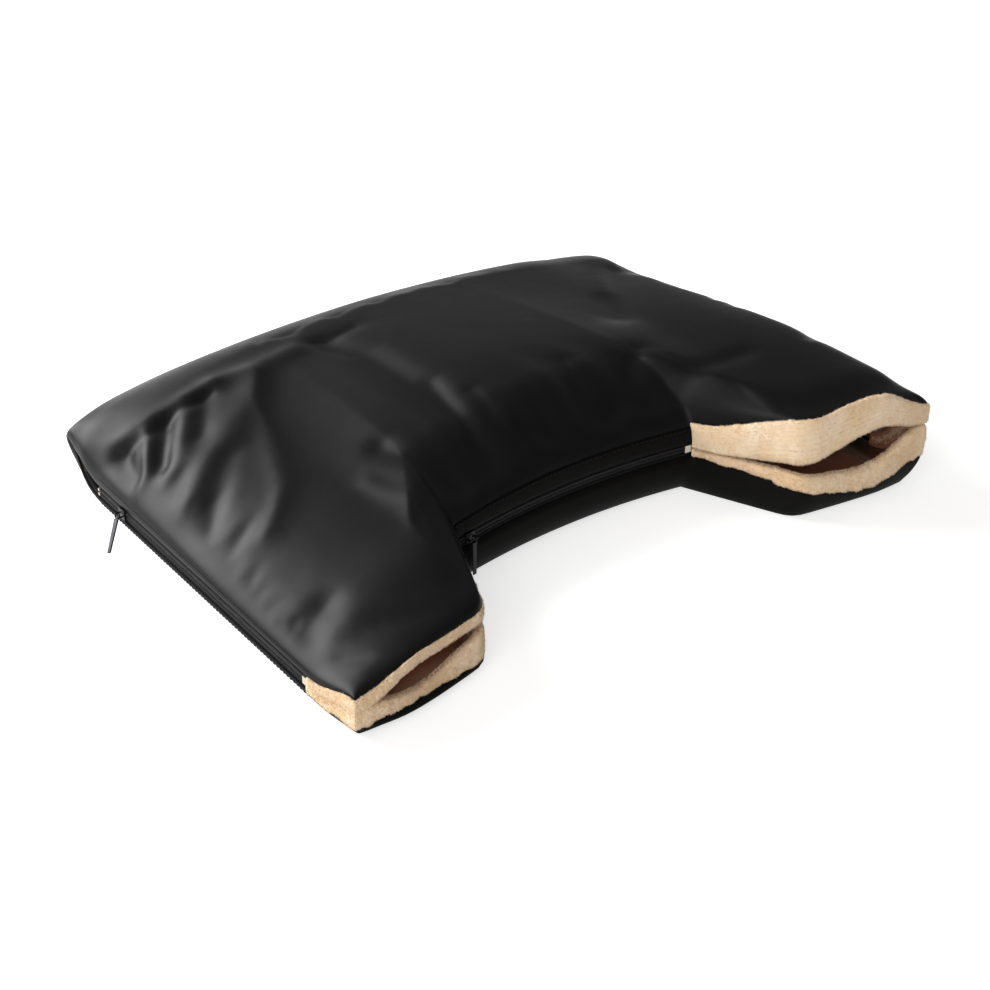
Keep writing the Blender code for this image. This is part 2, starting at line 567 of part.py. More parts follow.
def make_slider(name, parent, open_way):
    """Two plates, a post between the parted teeth, flanges that hold the tapes, and a bridge for the pull.

    X points out, Y along the zip and Z up; open_way is the side on Y where the teeth are parted."""
    plate_x = SLIDER_ROOM / 2 + SLIDER_PLATE / 2
    plate = (SLIDER_PLATE, SLIDER_LENGTH, SLIDER_HEIGHT)
    overlap = SLIDER_PLATE / 2
    post = (SLIDER_ROOM + 2 * overlap, SLIDER_POST_LENGTH, SLIDER_POST_WIDTH)
    post_y = open_way * (SLIDER_LENGTH / 2 - SLIDER_POST_LENGTH / 2 - EDGE_BEVEL)
    bar_x = SLIDER_ROOM / 2 + SLIDER_PLATE + BRIDGE_STAND
    foot = (BRIDGE_STAND + BRIDGE_BAR / 2 + overlap, BRIDGE_BAR, BRIDGE_BAR)
    foot_x = bar_x + BRIDGE_BAR / 2 - foot[0] / 2
    foot_y = BRIDGE_LENGTH / 2 - BRIDGE_BAR / 2
    bar = (BRIDGE_BAR - EDGE_BEVEL, BRIDGE_LENGTH, BRIDGE_BAR - EDGE_BEVEL)
    flange = (SLIDER_FLANGE + overlap, SLIDER_LENGTH - 4 * EDGE_BEVEL, SLIDER_FLANGE)
    flange_x = SLIDER_ROOM / 2 - SLIDER_FLANGE + flange[0] / 2
    flange_z = SLIDER_HEIGHT / 2 - SLIDER_FLANGE / 2 - EDGE_BEVEL / 2
    pieces = [box_piece(plate, (plate_x, 0, 0)), box_piece(plate, (-plate_x, 0, 0)), box_piece(post, (0, post_y, 0))]
    for side in (-1, 1):
        pieces.append(box_piece(foot, (foot_x, side * foot_y, 0)))
        for face in (-1, 1):
            pieces.append(box_piece(flange, (face * flange_x, 0, side * flange_z)))
    pieces.append(box_piece(bar, (bar_x, 0, 0)))
    return joined(name, pieces, GUNMETAL, parent, Matrix.Identity(4)), bar_x


def make_pull(name, parent, lean, skew):
    """A narrow tab that hangs from an eye round the slider's bridge. Its origin is the hinge.

    lean swings it outward about the bridge, skew tips it along the zip."""
    tab = bmesh.new()
    bmesh.ops.create_cube(tab, size=1)
    length = PULL_LENGTH - EYE_RADIUS
    bmesh.ops.scale(tab, vec=(PULL_THICKNESS, PULL_WIDTH, length), verts=tab.verts)
    for vertex in tab.verts:
        if vertex.co.z < 0:
            vertex.co.y *= PULL_TIP_WIDTH / PULL_WIDTH
    bmesh.ops.bevel(tab, geom=tab.edges, offset=2 * EDGE_BEVEL, segments=1, affect="EDGES")
    bmesh.ops.translate(tab, vec=(0, 0, -EYE_RADIUS - length / 2), verts=tab.verts)
    bpy.ops.mesh.primitive_torus_add(major_radius=EYE_RADIUS, minor_radius=EYE_WIRE_RADIUS,
                                     major_segments=16, minor_segments=6)
    ring = bpy.context.object
    eye = bmesh.new()
    eye.from_mesh(ring.data)
    bpy.data.objects.remove(ring)
    bmesh.ops.rotate(eye, matrix=Matrix.Rotation(radians(90), 3, "X"), verts=eye.verts)
    turn = Matrix.Rotation(-lean, 4, "Y") @ Matrix.Rotation(skew, 4, "X")
    return joined(name, [tab, eye], GUNMETAL, parent, turn)


def new_empty(name, matrix, parent):
    empty = bpy.data.objects.new(name, None)
    PARTS.objects.link(empty)
    empty.empty_display_size = SLIDER_LENGTH
    empty.parent = parent
    empty.matrix_local = matrix
    return empty


def make_zip(place, start, end, rest, open_way, lean, skew):
    """Tapes, teeth, end box and stops along one edge, and the slider and pull at their rest place.

    start is the box's end and end the stops' end: distances along a side zip, turns on the front zip.
    open_way is 1 where the stops lie anticlockwise of the slider, seen from above, and -1 where they don't."""
    unit = FRONT_ARC_RADIUS if place == "front" else 1
    way = 1 if end > start else -1
    box_end = start + way * BOX_LENGTH / unit
    stop_start = end - way * STOP_LENGTH / unit
    gap = way * GAP / unit
    cells = ZIP_CELLS if place == "front" else 1
    name = f"{place}_zip"
    stations = np.linspace(box_end + gap, stop_start - gap, cells + 1)
    box_span = (start + gap, box_end)
    loft(f"{name}_end_box", teeth_rings(place, box_span, -TEETH_FAR, TEETH_FAR, BOX_THICKNESS), NICKEL)
    for half, side, skin in (("upper", 1, top_skin), ("lower", -1, bottom_skin)):
        near, far = side * TEETH_NEAR, side * TEETH_FAR
        loft(f"{name}_{half}_teeth", teeth_rings(place, stations, near, far, TEETH_THICKNESS), NYLON)
        stop_span = (stop_start, end - gap)
        loft(f"{name}_{half}_stop", teeth_rings(place, stop_span, near, far, STOP_THICKNESS), NICKEL)
        make_tape(f"{name}_{half}_tape", skin, place)
    centre, out = zip_frame(place, rest)
    up = Vector((0, 0, 1))
    axes = Matrix((out, up.cross(out), up)).transposed().to_4x4()
    carrier = new_empty(f"{name}_slider_axis", Matrix.Translation(centre) @ axes, ROOT)
    _, bar_x = make_slider(f"{name}_slider", carrier, open_way)
    hinge = new_empty(f"{name}_pull_axis", Matrix.Translation((bar_x, 0, 0)), carrier)
    make_pull(f"{name}_pull", hinge, lean, -open_way * skew)


def make_placket():
    """A folded band of shell cloth laid over the top panel's front edge, above the front zip."""
    lines = zip_grid(top_skin, "front")
    edge_strip("front_placket", "front", lines, -GAP - PLACKET_THICKNESS, PLACKET_THICKNESS, SATIN)


for leftover in list(bpy.data.objects):
    bpy.data.objects.remove(leftover)
PARTS = bpy.data.collections.new("stroller_hand_muff")
HELPERS = bpy.data.collections.new("cutters")
bpy.context.scene.collection.children.link(PARTS)
bpy.context.scene.collection.children.link(HELPERS)
ROOT = bpy.data.objects.new("muff_origin", None)
PARTS.objects.link(ROOT)

SATIN = new_material("black satin polyester", (0.012, 0.012, 0.014), 0.42)
WADDING = new_material("white polyester wadding", (0.80, 0.80, 0.78), 0.95)
FLEECE = new_material("cream plush fleece", (0.76, 0.56, 0.36), 0.95)
BLACK_TAPE = new_material("black woven tape", (0.010, 0.010, 0.011), 0.8)
NYLON = new_material("black nylon coil", (0.012, 0.012, 0.013), 0.45)
GUNMETAL = new_material("gunmetal", (0.06, 0.06, 0.065), 0.35, 1.0)
NICKEL = new_material("nickel", (0.68, 0.66, 0.62), 0.3, 1.0)

make_panel("top", top_skin)
make_panel("bottom", bottom_skin)
CUFFS = {
    "left_top_cuff": (top_skin, False, LEFT_TOP_CUFF_SHARES),
    "left_bottom_cuff": (bottom_skin, False, LEFT_UNDER_CUFF_SHARES),
    "right_top_cuff": (top_skin, True, RIGHT_TOP_CUFF_SHARES),
    "right_bottom_cuff": (bottom_skin, True, RIGHT_UNDER_CUFF_SHARES),
}
for cuff_name, cuff in CUFFS.items():
    make_cuff(cuff_name, *cuff)
make_placket()
make_zip("left", MOUTH_END_Y, ZIP_BACK_Y, SIDE_SLIDER_Y, -1, SIDE_PULL_LEAN, SIDE_PULL_SKEW)
make_zip("right", MOUTH_END_Y, ZIP_BACK_Y, SIDE_SLIDER_Y, 1, SIDE_PULL_LEAN, SIDE_PULL_SKEW)
make_zip("front", ARC_TURN, -ARC_TURN, FRONT_SLIDER_TURN, -1, 0, 0)
foremost = min(vertex.co.y for name in CUFFS for vertex in bpy.data.objects[name].data.vertices)
ROOT.location.y = -(foremost + BACK_DEPTH) / 2
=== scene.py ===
# %% [markdown]
# # A padded hand muff for a stroller's handlebar
# The muff lies flat on a table, as it does when it is new. Two padded panels are sewn together along
# the rounded back. Zips close the left side, the right side and the hollow front edge, and the two
# front corners are left open for the hands, with cream fleece lips. Everything here is built over the
# solid model, which is loaded first and gives the place of each part.

# %% Load the solid model
from math import asin, cos, hypot, pi, radians, sin

import bpy
import numpy as np
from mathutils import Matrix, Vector


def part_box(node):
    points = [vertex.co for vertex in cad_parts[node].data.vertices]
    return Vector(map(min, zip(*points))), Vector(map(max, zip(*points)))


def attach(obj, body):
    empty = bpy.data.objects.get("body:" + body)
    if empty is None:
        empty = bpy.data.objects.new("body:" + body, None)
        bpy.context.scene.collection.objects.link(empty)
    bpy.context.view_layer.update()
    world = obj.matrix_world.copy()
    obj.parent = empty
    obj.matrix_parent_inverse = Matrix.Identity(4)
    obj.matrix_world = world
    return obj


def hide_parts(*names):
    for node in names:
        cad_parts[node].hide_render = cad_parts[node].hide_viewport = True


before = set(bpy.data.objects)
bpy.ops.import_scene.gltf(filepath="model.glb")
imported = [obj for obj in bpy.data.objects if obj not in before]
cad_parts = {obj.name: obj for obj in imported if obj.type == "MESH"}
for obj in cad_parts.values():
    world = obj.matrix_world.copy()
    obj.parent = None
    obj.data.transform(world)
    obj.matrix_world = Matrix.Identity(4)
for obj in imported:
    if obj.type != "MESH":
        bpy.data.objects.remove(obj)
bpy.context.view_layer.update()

# %% [markdown]
# ## The camera, the floor and the light
# The photograph looks down on the muff from its left front corner. It is a product picture on white. One
# soft box stands behind it on the left, near enough that its shine on the black cloth fades to the right, a
# weak low one straight behind it lights the strip along the back, and a wide weak one on the camera's left
# opens up the cream fleece. A sweep of white paper is the floor.

# %% Camera
PICTURE_SIZE = 990
FOCAL_PIXELS = 1880
CAMERA_TURN, CAMERA_RISE, CAMERA_DISTANCE = radians(37.0), radians(32.1), 1.420
BACK_DEPTH = 0.434
SHIFT_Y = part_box("bottom_shell")[1].y - BACK_DEPTH
AIM = Vector((-0.030, 0.158 + SHIFT_Y, 0.020))

scene = bpy.context.scene
scene.view_settings.view_transform = "Standard"
toward_camera = Vector((-sin(CAMERA_TURN) * cos(CAMERA_RISE), -cos(CAMERA_TURN) * cos(CAMERA_RISE), sin(CAMERA_RISE)))
camera = bpy.data.objects.new("camera", bpy.data.cameras.new("camera"))
scene.collection.objects.link(camera)
camera.data.sensor_width = 36
camera.data.lens = FOCAL_PIXELS / PICTURE_SIZE * camera.data.sensor_width
camera.location = AIM + CAMERA_DISTANCE * toward_camera
camera.rotation_mode = "QUATERNION"
camera.rotation_quaternion = (-toward_camera).to_track_quat("-Z", "Y")
scene.camera = camera
print("lens, mm:", round(camera.data.lens, 1))


# %% Nodes and colours
def srgb(hex_colour):
    """The linear value of each channel: a twelfth below 0.04, and a power of 2.4 above."""
    channel = np.array([int(hex_colour[start:start + 2], 16) for start in (1, 3, 5)]) / 255
    linear = np.where(channel <= 0.04045, channel / 12.92, ((channel + 0.055) / 1.055) ** 2.4)
    return (*linear.tolist(), 1.0)


def add(tree, kind, sockets=None, **settings):
    """Adds a node. sockets gives each input by name or number: a value, or another node's output to link."""
    node = tree.nodes.new("ShaderNode" + kind)
    for name, value in settings.items():
        setattr(node, name, value)
    for name, value in (sockets or {}).items():
        if isinstance(value, bpy.types.NodeSocket):
            tree.links.new(value, node.inputs[name])
        else:
            node.inputs[name].default_value = value
    return node


def new_material(name, colour, roughness, **sockets):
    """A Principled material with its plain values set, its node tree and its shader."""
    material = bpy.data.materials.new(name)
    material.use_nodes = True
    shader = material.node_tree.nodes["Principled BSDF"]
    shader.inputs["Base Color"].default_value = srgb(colour)
    shader.inputs["Roughness"].default_value = roughness
    for socket, value in sockets.items():
        shader.inputs[socket.replace("_", " ")].default_value = value
    return material, material.node_tree, shader


# %% Floor, world and lamps
FLOOR_REACH = 40.0
FLOOR_GLOW = 0.64
WORLD_LIGHT = 0.25
LAMPS = {
    "key soft box": dict(place=(-0.80, 1.20, 0.84), size=1.1, power=40),
    "back soft box": dict(place=(-0.05, 1.60, 0.44), size=1.0, power=4.4),
    "fill soft box": dict(place=(-2.5, -1.6, 1.5), size=2.6, power=54),
}

floor_material, tree, shader = new_material("matt white paper", "#DEDEDC", 0.9, Specular_IOR_Level=0.1)
path = add(tree, "LightPath")
seen = add(tree, "Math", {0: path.outputs["Is Camera Ray"], 1: path.outputs["Is Glossy Ray"]}, operation="MAXIMUM")
seen = add(tree, "Math", {0: seen.outputs[0], 1: path.outputs["Is Transmission Ray"]}, operation="MAXIMUM")
glow = add(tree, "Math", {0: seen.outputs[0], 1: FLOOR_GLOW}, operation="MULTIPLY")
shader.inputs["Emission Color"].default_value = (1, 1, 1, 1)
tree.links.new(glow.outputs[0], shader.inputs["Emission Strength"])
floor_mesh = bpy.data.meshes.new("floor")
corners = [(x * FLOOR_REACH, y * FLOOR_REACH, 0) for x, y in ((-1, -1), (1, -1), (1, 1), (-1, 1))]
floor_mesh.from_pydata(corners, [], [(0, 1, 2, 3)])
floor_mesh.materials.append(floor_material)
floor = bpy.data.objects.new("floor", floor_mesh)
scene.collection.objects.link(floor)

world = bpy.data.worlds.new("white studio")
world.use_nodes = True
scene.world = world
tree = world.node_tree
tree.nodes["Background"].inputs["Color"].default_value = (1, 1, 1, 1)
tree.nodes["Background"].inputs["Strength"].default_value = WORLD_LIGHT


def add_lamp(name, place, size, power):
    """A square soft box that faces the middle of the muff."""
    light = bpy.data.lights.new(name, "AREA")
    light.size = size
    light.energy = power
    lamp = bpy.data.objects.new(name, light)
    lamp.location = place
    lamp.rotation_mode = "QUATERNION"
    lamp.rotation_quaternion = Vector(place).to_track_quat("Z", "Y")
    scene.collection.objects.link(lamp)


for name, settings in LAMPS.items():
    add_lamp(name, **settings)
print("lamps:", [light.name for light in bpy.data.lights])

# %% [markdown]
# ## The form of the two panels
# Each panel is one formula of two shares, as a pattern cutter thinks of it: u runs across the muff from
# the left edge to the right, and c runs along it from the front edge to the back seam. The plan gives x
# and y, quarter rounds lift the cloth from each edge, and the way inside comes with it, so that the
# wadding and the fleece are the same surface set deeper.

# %% Measures of the muff, in metres
HALF_WIDTH = 0.266
MOUTH_OUTER_Y, MOUTH_INNER_X, MOUTH_INNER_Y = -0.007, 0.149, 0.011
ZIP_END_X, ZIP_END_Y, FRONT_ARC_RADIUS = 0.112, 0.096, 0.560
BACK_SAGITTA, FRONT_CORNER_INSET, BACK_CORNER_INSET, CORNER_SPAN = 0.031, 0.004, 0.003, 0.045
CORNER_ROUNDING = 0.016
PANEL_HEIGHT = 0.098
LEFT_FRONT_HEIGHTS, RIGHT_FRONT_HEIGHTS = (0.50, 0.58, 0.68, 0.86), (0.94, 0.98, 0.95, 0.97)
LEFT_BACK_HEIGHTS, RIGHT_BACK_HEIGHTS = (0.76, 0.77, 0.78, 0.79), (0.64, 0.67, 0.74, 0.77)
MIDDLE_FRONT_HEIGHT, MIDDLE_BACK_HEIGHT = 1.0, 0.79
TOP_ROLLS, RIGHT_MOUTH_ROLLS = (0.075, 0.055, 0.106, 0.030), (0.55, 0.50, 0.60, 1.0)
UNDER_ROLLS = (0.0125, 0.045, 0.014, 0.014)
UNDER_FRONT_BULGE, MOUTH_BULGE, LEFT_MOUTH_BULGES, CREST = 0.0035, 0.0055, (0.2, 1.0, 0.4, 0), 0.2
SIDE_ZIP_HEIGHT, FRONT_ZIP_HEIGHT, BACK_SEAM_HEIGHT = 0.019, 0.040, 0.041
MOUTH_SPLIT, MOUTH_GAPE, ZIP_REVEAL, SEAM_HALF_GAP = 0.050, 0.048, 0.006, 0.00015
ZIP_SPLIT, ZIP_GAPE = FRONT_ZIP_HEIGHT / MOUTH_SPLIT, ZIP_REVEAL / MOUTH_GAPE
LEFT_SPLITS, RIGHT_SPLITS = (0.50, 0.52, 0.56, ZIP_SPLIT), (1.08, 0.98, 1.0, ZIP_SPLIT)
LEFT_TOP_GAPES, RIGHT_TOP_GAPES = (0.21, 0.44, 0.44, ZIP_GAPE), (0.36, 0.83, 0.74, ZIP_GAPE)
LEFT_UNDER_GAPES, RIGHT_UNDER_GAPES = (0.28, 0.31, 0.38, ZIP_GAPE), (0.50, 0.65, 0.46, ZIP_GAPE)
MOUTH_END_Y, ZIP_TO_CORNER, LOOP_HOLE_LENGTH, LOOP_CLOSING = 0.048, 0.058, 0.028, 0.33

ARC_TURN = asin(ZIP_END_X / FRONT_ARC_RADIUS)
ARC_CENTRE_Y = ZIP_END_Y - FRONT_ARC_RADIUS * cos(ARC_TURN)
MOUTH_LENGTH = hypot(HALF_WIDTH - MOUTH_INNER_X, MOUTH_INNER_Y - MOUTH_OUTER_Y)
DIAGONAL_LENGTH = hypot(MOUTH_INNER_X - ZIP_END_X, ZIP_END_Y - MOUTH_INNER_Y)
HALF_FRONT_LENGTH = MOUTH_LENGTH + DIAGONAL_LENGTH + FRONT_ARC_RADIUS * ARC_TURN
INNER_U = MOUTH_LENGTH / HALF_FRONT_LENGTH / 2
ZIP_U = (MOUTH_LENGTH + DIAGONAL_LENGTH) / HALF_FRONT_LENGTH / 2
SIDE_LENGTH = BACK_DEPTH - BACK_SAGITTA - MOUTH_OUTER_Y
ZIP_BACK_Y = BACK_DEPTH - BACK_SAGITTA - ZIP_TO_CORNER
MOUTH_C = (MOUTH_END_Y - MOUTH_OUTER_Y) / SIDE_LENGTH
ZIP_BACK_C = (ZIP_BACK_Y - MOUTH_OUTER_Y) / SIDE_LENGTH
LOOP_C = (ZIP_BACK_Y + LOOP_HOLE_LENGTH - MOUTH_OUTER_Y) / SIDE_LENGTH
print("front edge, mm:", round(2000 * HALF_FRONT_LENGTH))


# %% Smooth steps and curves
def ease(x):
    """0 below 0, 1 above 1, and three squares less two cubes between."""
    x = np.clip(x, 0, 1)
    return x * x * (3 - 2 * x)


def quarter(x):
    """A quarter circle's rise: upright at 0, level from 1 on."""
    return np.sqrt(1 - (1 - np.clip(x, 0, 1)) ** 2)


def normalised(vectors):
    """Each vector over its own length."""
    return vectors / np.linalg.norm(vectors, axis=-1, keepdims=True)


def through(stations, values, x):
    """A cubic through the values, whose slope at each is the harmonic mean of its neighbours', so never past them."""
    stations, values = np.array(stations), np.array(values)
    run = np.diff(stations)
    slope = np.diff(values) / run
    tangent = np.zeros_like(values)
    same_way = slope[:-1] * slope[1:] > 0
    mean = 2 * slope[:-1] * slope[1:] / np.where(same_way, slope[:-1] + slope[1:], 1)
    tangent[1:-1] = np.where(same_way, mean, 0)
    cell = np.clip(np.searchsorted(stations, x, side="right") - 1, 0, len(run) - 1)
    t = (x - stations[cell]) / run[cell]
    start, end = values[cell], values[cell + 1]
    bend_in, bend_out = tangent[cell] * run[cell], tangent[cell + 1] * run[cell]
    return (start * (1 + 2 * t) * (1 - t) ** 2 + bend_in * t * (1 - t) ** 2
            + end * t * t * (3 - 2 * t) + bend_out * t * t * (t - 1))


def across(u, left, middle, right, size=1.0):
    """Shares at outer corner, mid mouth, inner corner and zip end of both sides, and in the middle, times a size."""
    stations = (0, INNER_U / 2, INNER_U, ZIP_U, 0.5, 1 - ZIP_U, 1 - INNER_U, 1 - INNER_U / 2, 1)
    return size * through(stations, (*left, middle, *right[::-1]), u)


# %% The plan
def front_edge(u):
    """Straight mouth, straight arm edge, then the zip's arc: each by its length from the outer corner, mirrored."""
    along = (0.5 - np.abs(u - 0.5)) * 2 * HALF_FRONT_LENGTH
    mouth = along / MOUTH_LENGTH
    diagonal = (along - MOUTH_LENGTH) / DIAGONAL_LENGTH
    turn = (HALF_FRONT_LENGTH - along) / FRONT_ARC_RADIUS
    x = np.where(mouth < 1, HALF_WIDTH + (MOUTH_INNER_X - HALF_WIDTH) * mouth,
                 np.where(diagonal < 1, MOUTH_INNER_X + (ZIP_END_X - MOUTH_INNER_X) * diagonal,
                          FRONT_ARC_RADIUS * np.sin(turn)))
    y = np.where(mouth < 1, MOUTH_OUTER_Y + (MOUTH_INNER_Y - MOUTH_OUTER_Y) * mouth,
                 np.where(diagonal < 1, MOUTH_INNER_Y + (ZIP_END_Y - MOUTH_INNER_Y) * diagonal,
                          ARC_CENTRE_Y + FRONT_ARC_RADIUS * np.cos(turn)))
    return np.stack([np.where(u < 0.5, -x, x), y], -1)


def rounded_front_edge(u):
    """The front edge averaged over a short stretch each way, which rounds its corners off."""
    reach = np.minimum(CORNER_ROUNDING, np.abs(np.abs(u - 0.5) - (0.5 - ZIP_U)))
    reach = np.where((u > ZIP_U) & (u < 1 - ZIP_U), 0, np.minimum(reach, np.minimum(u, 1 - u)))
    steps = np.linspace(-1, 1, 17)
    return sum(front_edge(u + step * reach) for step in steps) / len(steps)


def across_normal(line, u):
    """The line's travel between two near shares, turned a quarter turn and made a unit long."""
    step = 1e-4
    travel = line(np.minimum(u + step, 1)) - line(np.maximum(u - step, 0))
    return normalised(np.stack([-travel[..., 1], travel[..., 0]], -1))


def back_edge(u):
    """A parabola: the depth less the sagitta times the square of the share of the half width."""
    x = HALF_WIDTH * (2 * u - 1)
    return np.stack([x, BACK_DEPTH - BACK_SAGITTA * (x / HALF_WIDTH) ** 2], -1)


def plan(u, c):
    """x and y part of the way c from front edge to back edge, and each edge's distance and inward normal."""
    front, back = rounded_front_edge(u), back_edge(u)
    place = front + (back - front) * c[..., None]
    length = np.linalg.norm(back - front, axis=-1)
    left, right = place[..., 0] + HALF_WIDTH, HALF_WIDTH - place[..., 0]
    for side, inward in ((left, 1), (right, -1)):
        near_side = 1 - ease(side / CORNER_SPAN)
        near_front = near_side * (1 - ease(c * length / CORNER_SPAN))
        near_back = near_side * (1 - ease((1 - c) * length / CORNER_SPAN))
        place[..., 0] += inward * (near_front * FRONT_CORNER_INSET + near_back * BACK_CORNER_INSET)
        place[..., 1] += near_front * FRONT_CORNER_INSET - near_back * BACK_CORNER_INSET
    edges = ((c * length, across_normal(rounded_front_edge, u)), ((1 - c) * length, -across_normal(back_edge, u)),
             (left, np.array([1, 0])), (right, np.array([-1, 0])))
    return place, edges


def nearest_edge(edges):
    """The distance from whichever edge is nearest."""
    return np.min([distance for distance, _ in edges], axis=0)


# %% The rise from the edges
def roll_over(edges, rolls):
    """Quarter circles from all edges, joined as one over the root of summed inverse squares, and the way inside."""
    rises = [quarter(distance / roll) for (distance, _), roll in zip(edges, rolls)]
    rise = sum(np.maximum(part, 1e-6) ** -2 - 1 for part in rises)
    rise = np.where(np.min(rises, axis=0) > 0, (rise + 1) ** -0.5, 0)
    level = sum((1 - part)[..., None] * normal for part, (_, normal) in zip(rises, edges))
    size = np.maximum(np.linalg.norm(level, axis=-1), 1e-9)
    return rise, level / size[..., None] * np.sqrt(1 - rise ** 2)[..., None]


def edge_heights(u, c):
    """Heights of both panels' own edges: the line where they part, with the gape above and below it."""
    mouth = 1 - ease(c / MOUTH_C)
    rise = ease((c - ZIP_BACK_C) / (1 - ZIP_BACK_C))
    sewn = ease((c - LOOP_C) / (1 - LOOP_C) / LOOP_CLOSING)
    split = across(u, LEFT_SPLITS, ZIP_SPLIT, RIGHT_SPLITS, MOUTH_SPLIT)
    split = SIDE_ZIP_HEIGHT + (split - SIDE_ZIP_HEIGHT) * mouth + (BACK_SEAM_HEIGHT - SIDE_ZIP_HEIGHT) * rise
    edges = []
    for way, left, right in ((1, LEFT_TOP_GAPES, RIGHT_TOP_GAPES), (-1, LEFT_UNDER_GAPES, RIGHT_UNDER_GAPES)):
        gape = across(u, left, ZIP_GAPE, right, MOUTH_GAPE)
        gape = (ZIP_REVEAL + (gape - ZIP_REVEAL) * mouth) * (1 - sewn) + SEAM_HALF_GAP * sewn
        edges.append(split + way * gape)
    return edges


# %% [markdown]
# ## Creases
# Satin over wadding keeps every crease that the bag was packed with. Each crease is a line over the plan
# with a depth and a half width: the cloth sinks along it, or rises where the depth is negative. A sharp
# one falls off straight from its line, as a pinched fold does, and a soft one like a bell.

# %% Table of creases
# depth and half width in mm, sharp or soft, then points as shares of the half width and of the depth
CREASES = (
    (-1.8, 8, "sharp", (-0.955, 0.822), (-0.880, 0.798), (-0.750, 0.792), (-0.600, 0.796)),
    (-2.4, 12, "soft", (-0.600, 0.796), (-0.429, 0.794), (-0.342, 0.800), (-0.250, 0.815)),
    (3.6, 6, "sharp", (-0.982, 0.782), (-0.925, 0.772), (-0.880, 0.762), (-0.815, 0.762)),
    (3.2, 4, "sharp", (-0.775, 0.768), (-0.700, 0.768), (-0.640, 0.770)),
    (8.0, 11, "soft", (-0.958, 0.756), (-0.980, 0.712)),
    (-3.0, 5, "soft", (-0.845, 0.768), (-0.872, 0.732), (-0.925, 0.688), (-0.978, 0.672)),
    (5.4, 8, "soft", (-0.800, 0.758), (-0.852, 0.712), (-0.888, 0.678)),
    (-2.0, 9, "soft", (-0.700, 0.780), (-0.765, 0.715), (-0.871, 0.644)),
    (3.0, 8, "soft", (-0.675, 0.755), (-0.720, 0.715), (-0.756, 0.680)),
    (-2.6, 14, "soft", (-0.500, 0.770), (-0.600, 0.690), (-0.740, 0.625), (-0.911, 0.560)),
    (2.0, 9, "soft", (-0.745, 0.600), (-0.838, 0.550), (-0.905, 0.485)),
    (-2.4, 9, "sharp", (-0.480, 0.770), (-0.560, 0.697), (-0.615, 0.594), (-0.699, 0.464), (-0.768, 0.418),
     (-0.829, 0.388)),
    (4.0, 13, "soft", (-0.231, 0.803), (-0.183, 0.697), (-0.193, 0.545), (-0.207, 0.426), (-0.221, 0.346),
     (-0.230, 0.272)),
    (2.4, 8, "sharp", (-0.250, 0.812), (-0.201, 0.800), (-0.100, 0.810)),
    (3.4, 11, "soft", (-0.431, 0.416), (-0.407, 0.358), (-0.375, 0.300), (-0.335, 0.259)),
    (-1.0, 7, "soft", (-0.538, 0.364), (-0.522, 0.317), (-0.499, 0.277)),
    (-1.6, 9, "soft", (-0.974, 0.351), (-0.990, 0.276), (-0.990, 0.210)),
    (3.0, 11, "soft", (-0.865, 0.188), (-0.925, 0.170), (-0.985, 0.140)),
    (-1.2, 10, "soft", (-0.965, 0.112), (-0.841, 0.130)),
    (2.6, 7, "sharp", (-0.155, 0.518), (-0.190, 0.429), (-0.218, 0.334), (-0.230, 0.257)),
    (2.6, 7, "sharp", (-0.106, 0.438), (-0.125, 0.340), (-0.102, 0.270)),
    (2.0, 7, "sharp", (-0.038, 0.306), (0.072, 0.257)),
    (2.6, 7, "sharp", (0.207, 0.424), (0.129, 0.323), (0.096, 0.256)),
    (4.0, 8, "sharp", (0.441, 0.389), (0.368, 0.352), (0.196, 0.280), (0.197, 0.258)),
    (2.6, 9, "soft", (0.657, 0.259), (0.470, 0.272), (0.282, 0.283)),
    (-2.0, 9, "sharp", (0.860, 0.820), (0.756, 0.726), (0.675, 0.651)),
    (3.0, 16, "soft", (0.861, 0.740), (0.760, 0.670), (0.560, 0.530)),
)


def creases(place):
    """Sum over the lines of depth times a bell, or a tent with a rounded top, of the distance over the half width."""
    sunk = 0
    for depth, half_width, kind, *line in CREASES:
        line = np.array(line) * (HALF_WIDTH, BACK_DEPTH)
        gaps = []
        for a, b in zip(line[:-1], line[1:]):
            t = np.clip(((place - a) @ (b - a)) / ((b - a) @ (b - a)), 0, 1)
            gaps.append(np.linalg.norm(place - (a + (b - a) * t[..., None]), axis=-1))
        away = np.min(gaps, axis=0) / (half_width / 1000)
        fall = np.exp(-away ** 2) if kind == "soft" else np.exp(0.3 - np.sqrt(0.09 + 1.6 * away ** 2))
        sunk = sunk + depth / 1000 * fall
    return sunk


# %% Skins of the top and bottom panels
GATHER_DEPTH, GATHER_COUNT, GATHER_PEAK, GATHER_LENGTH = 0.003, 5, 0.022, 0.110
CREASE_FADE = 0.018


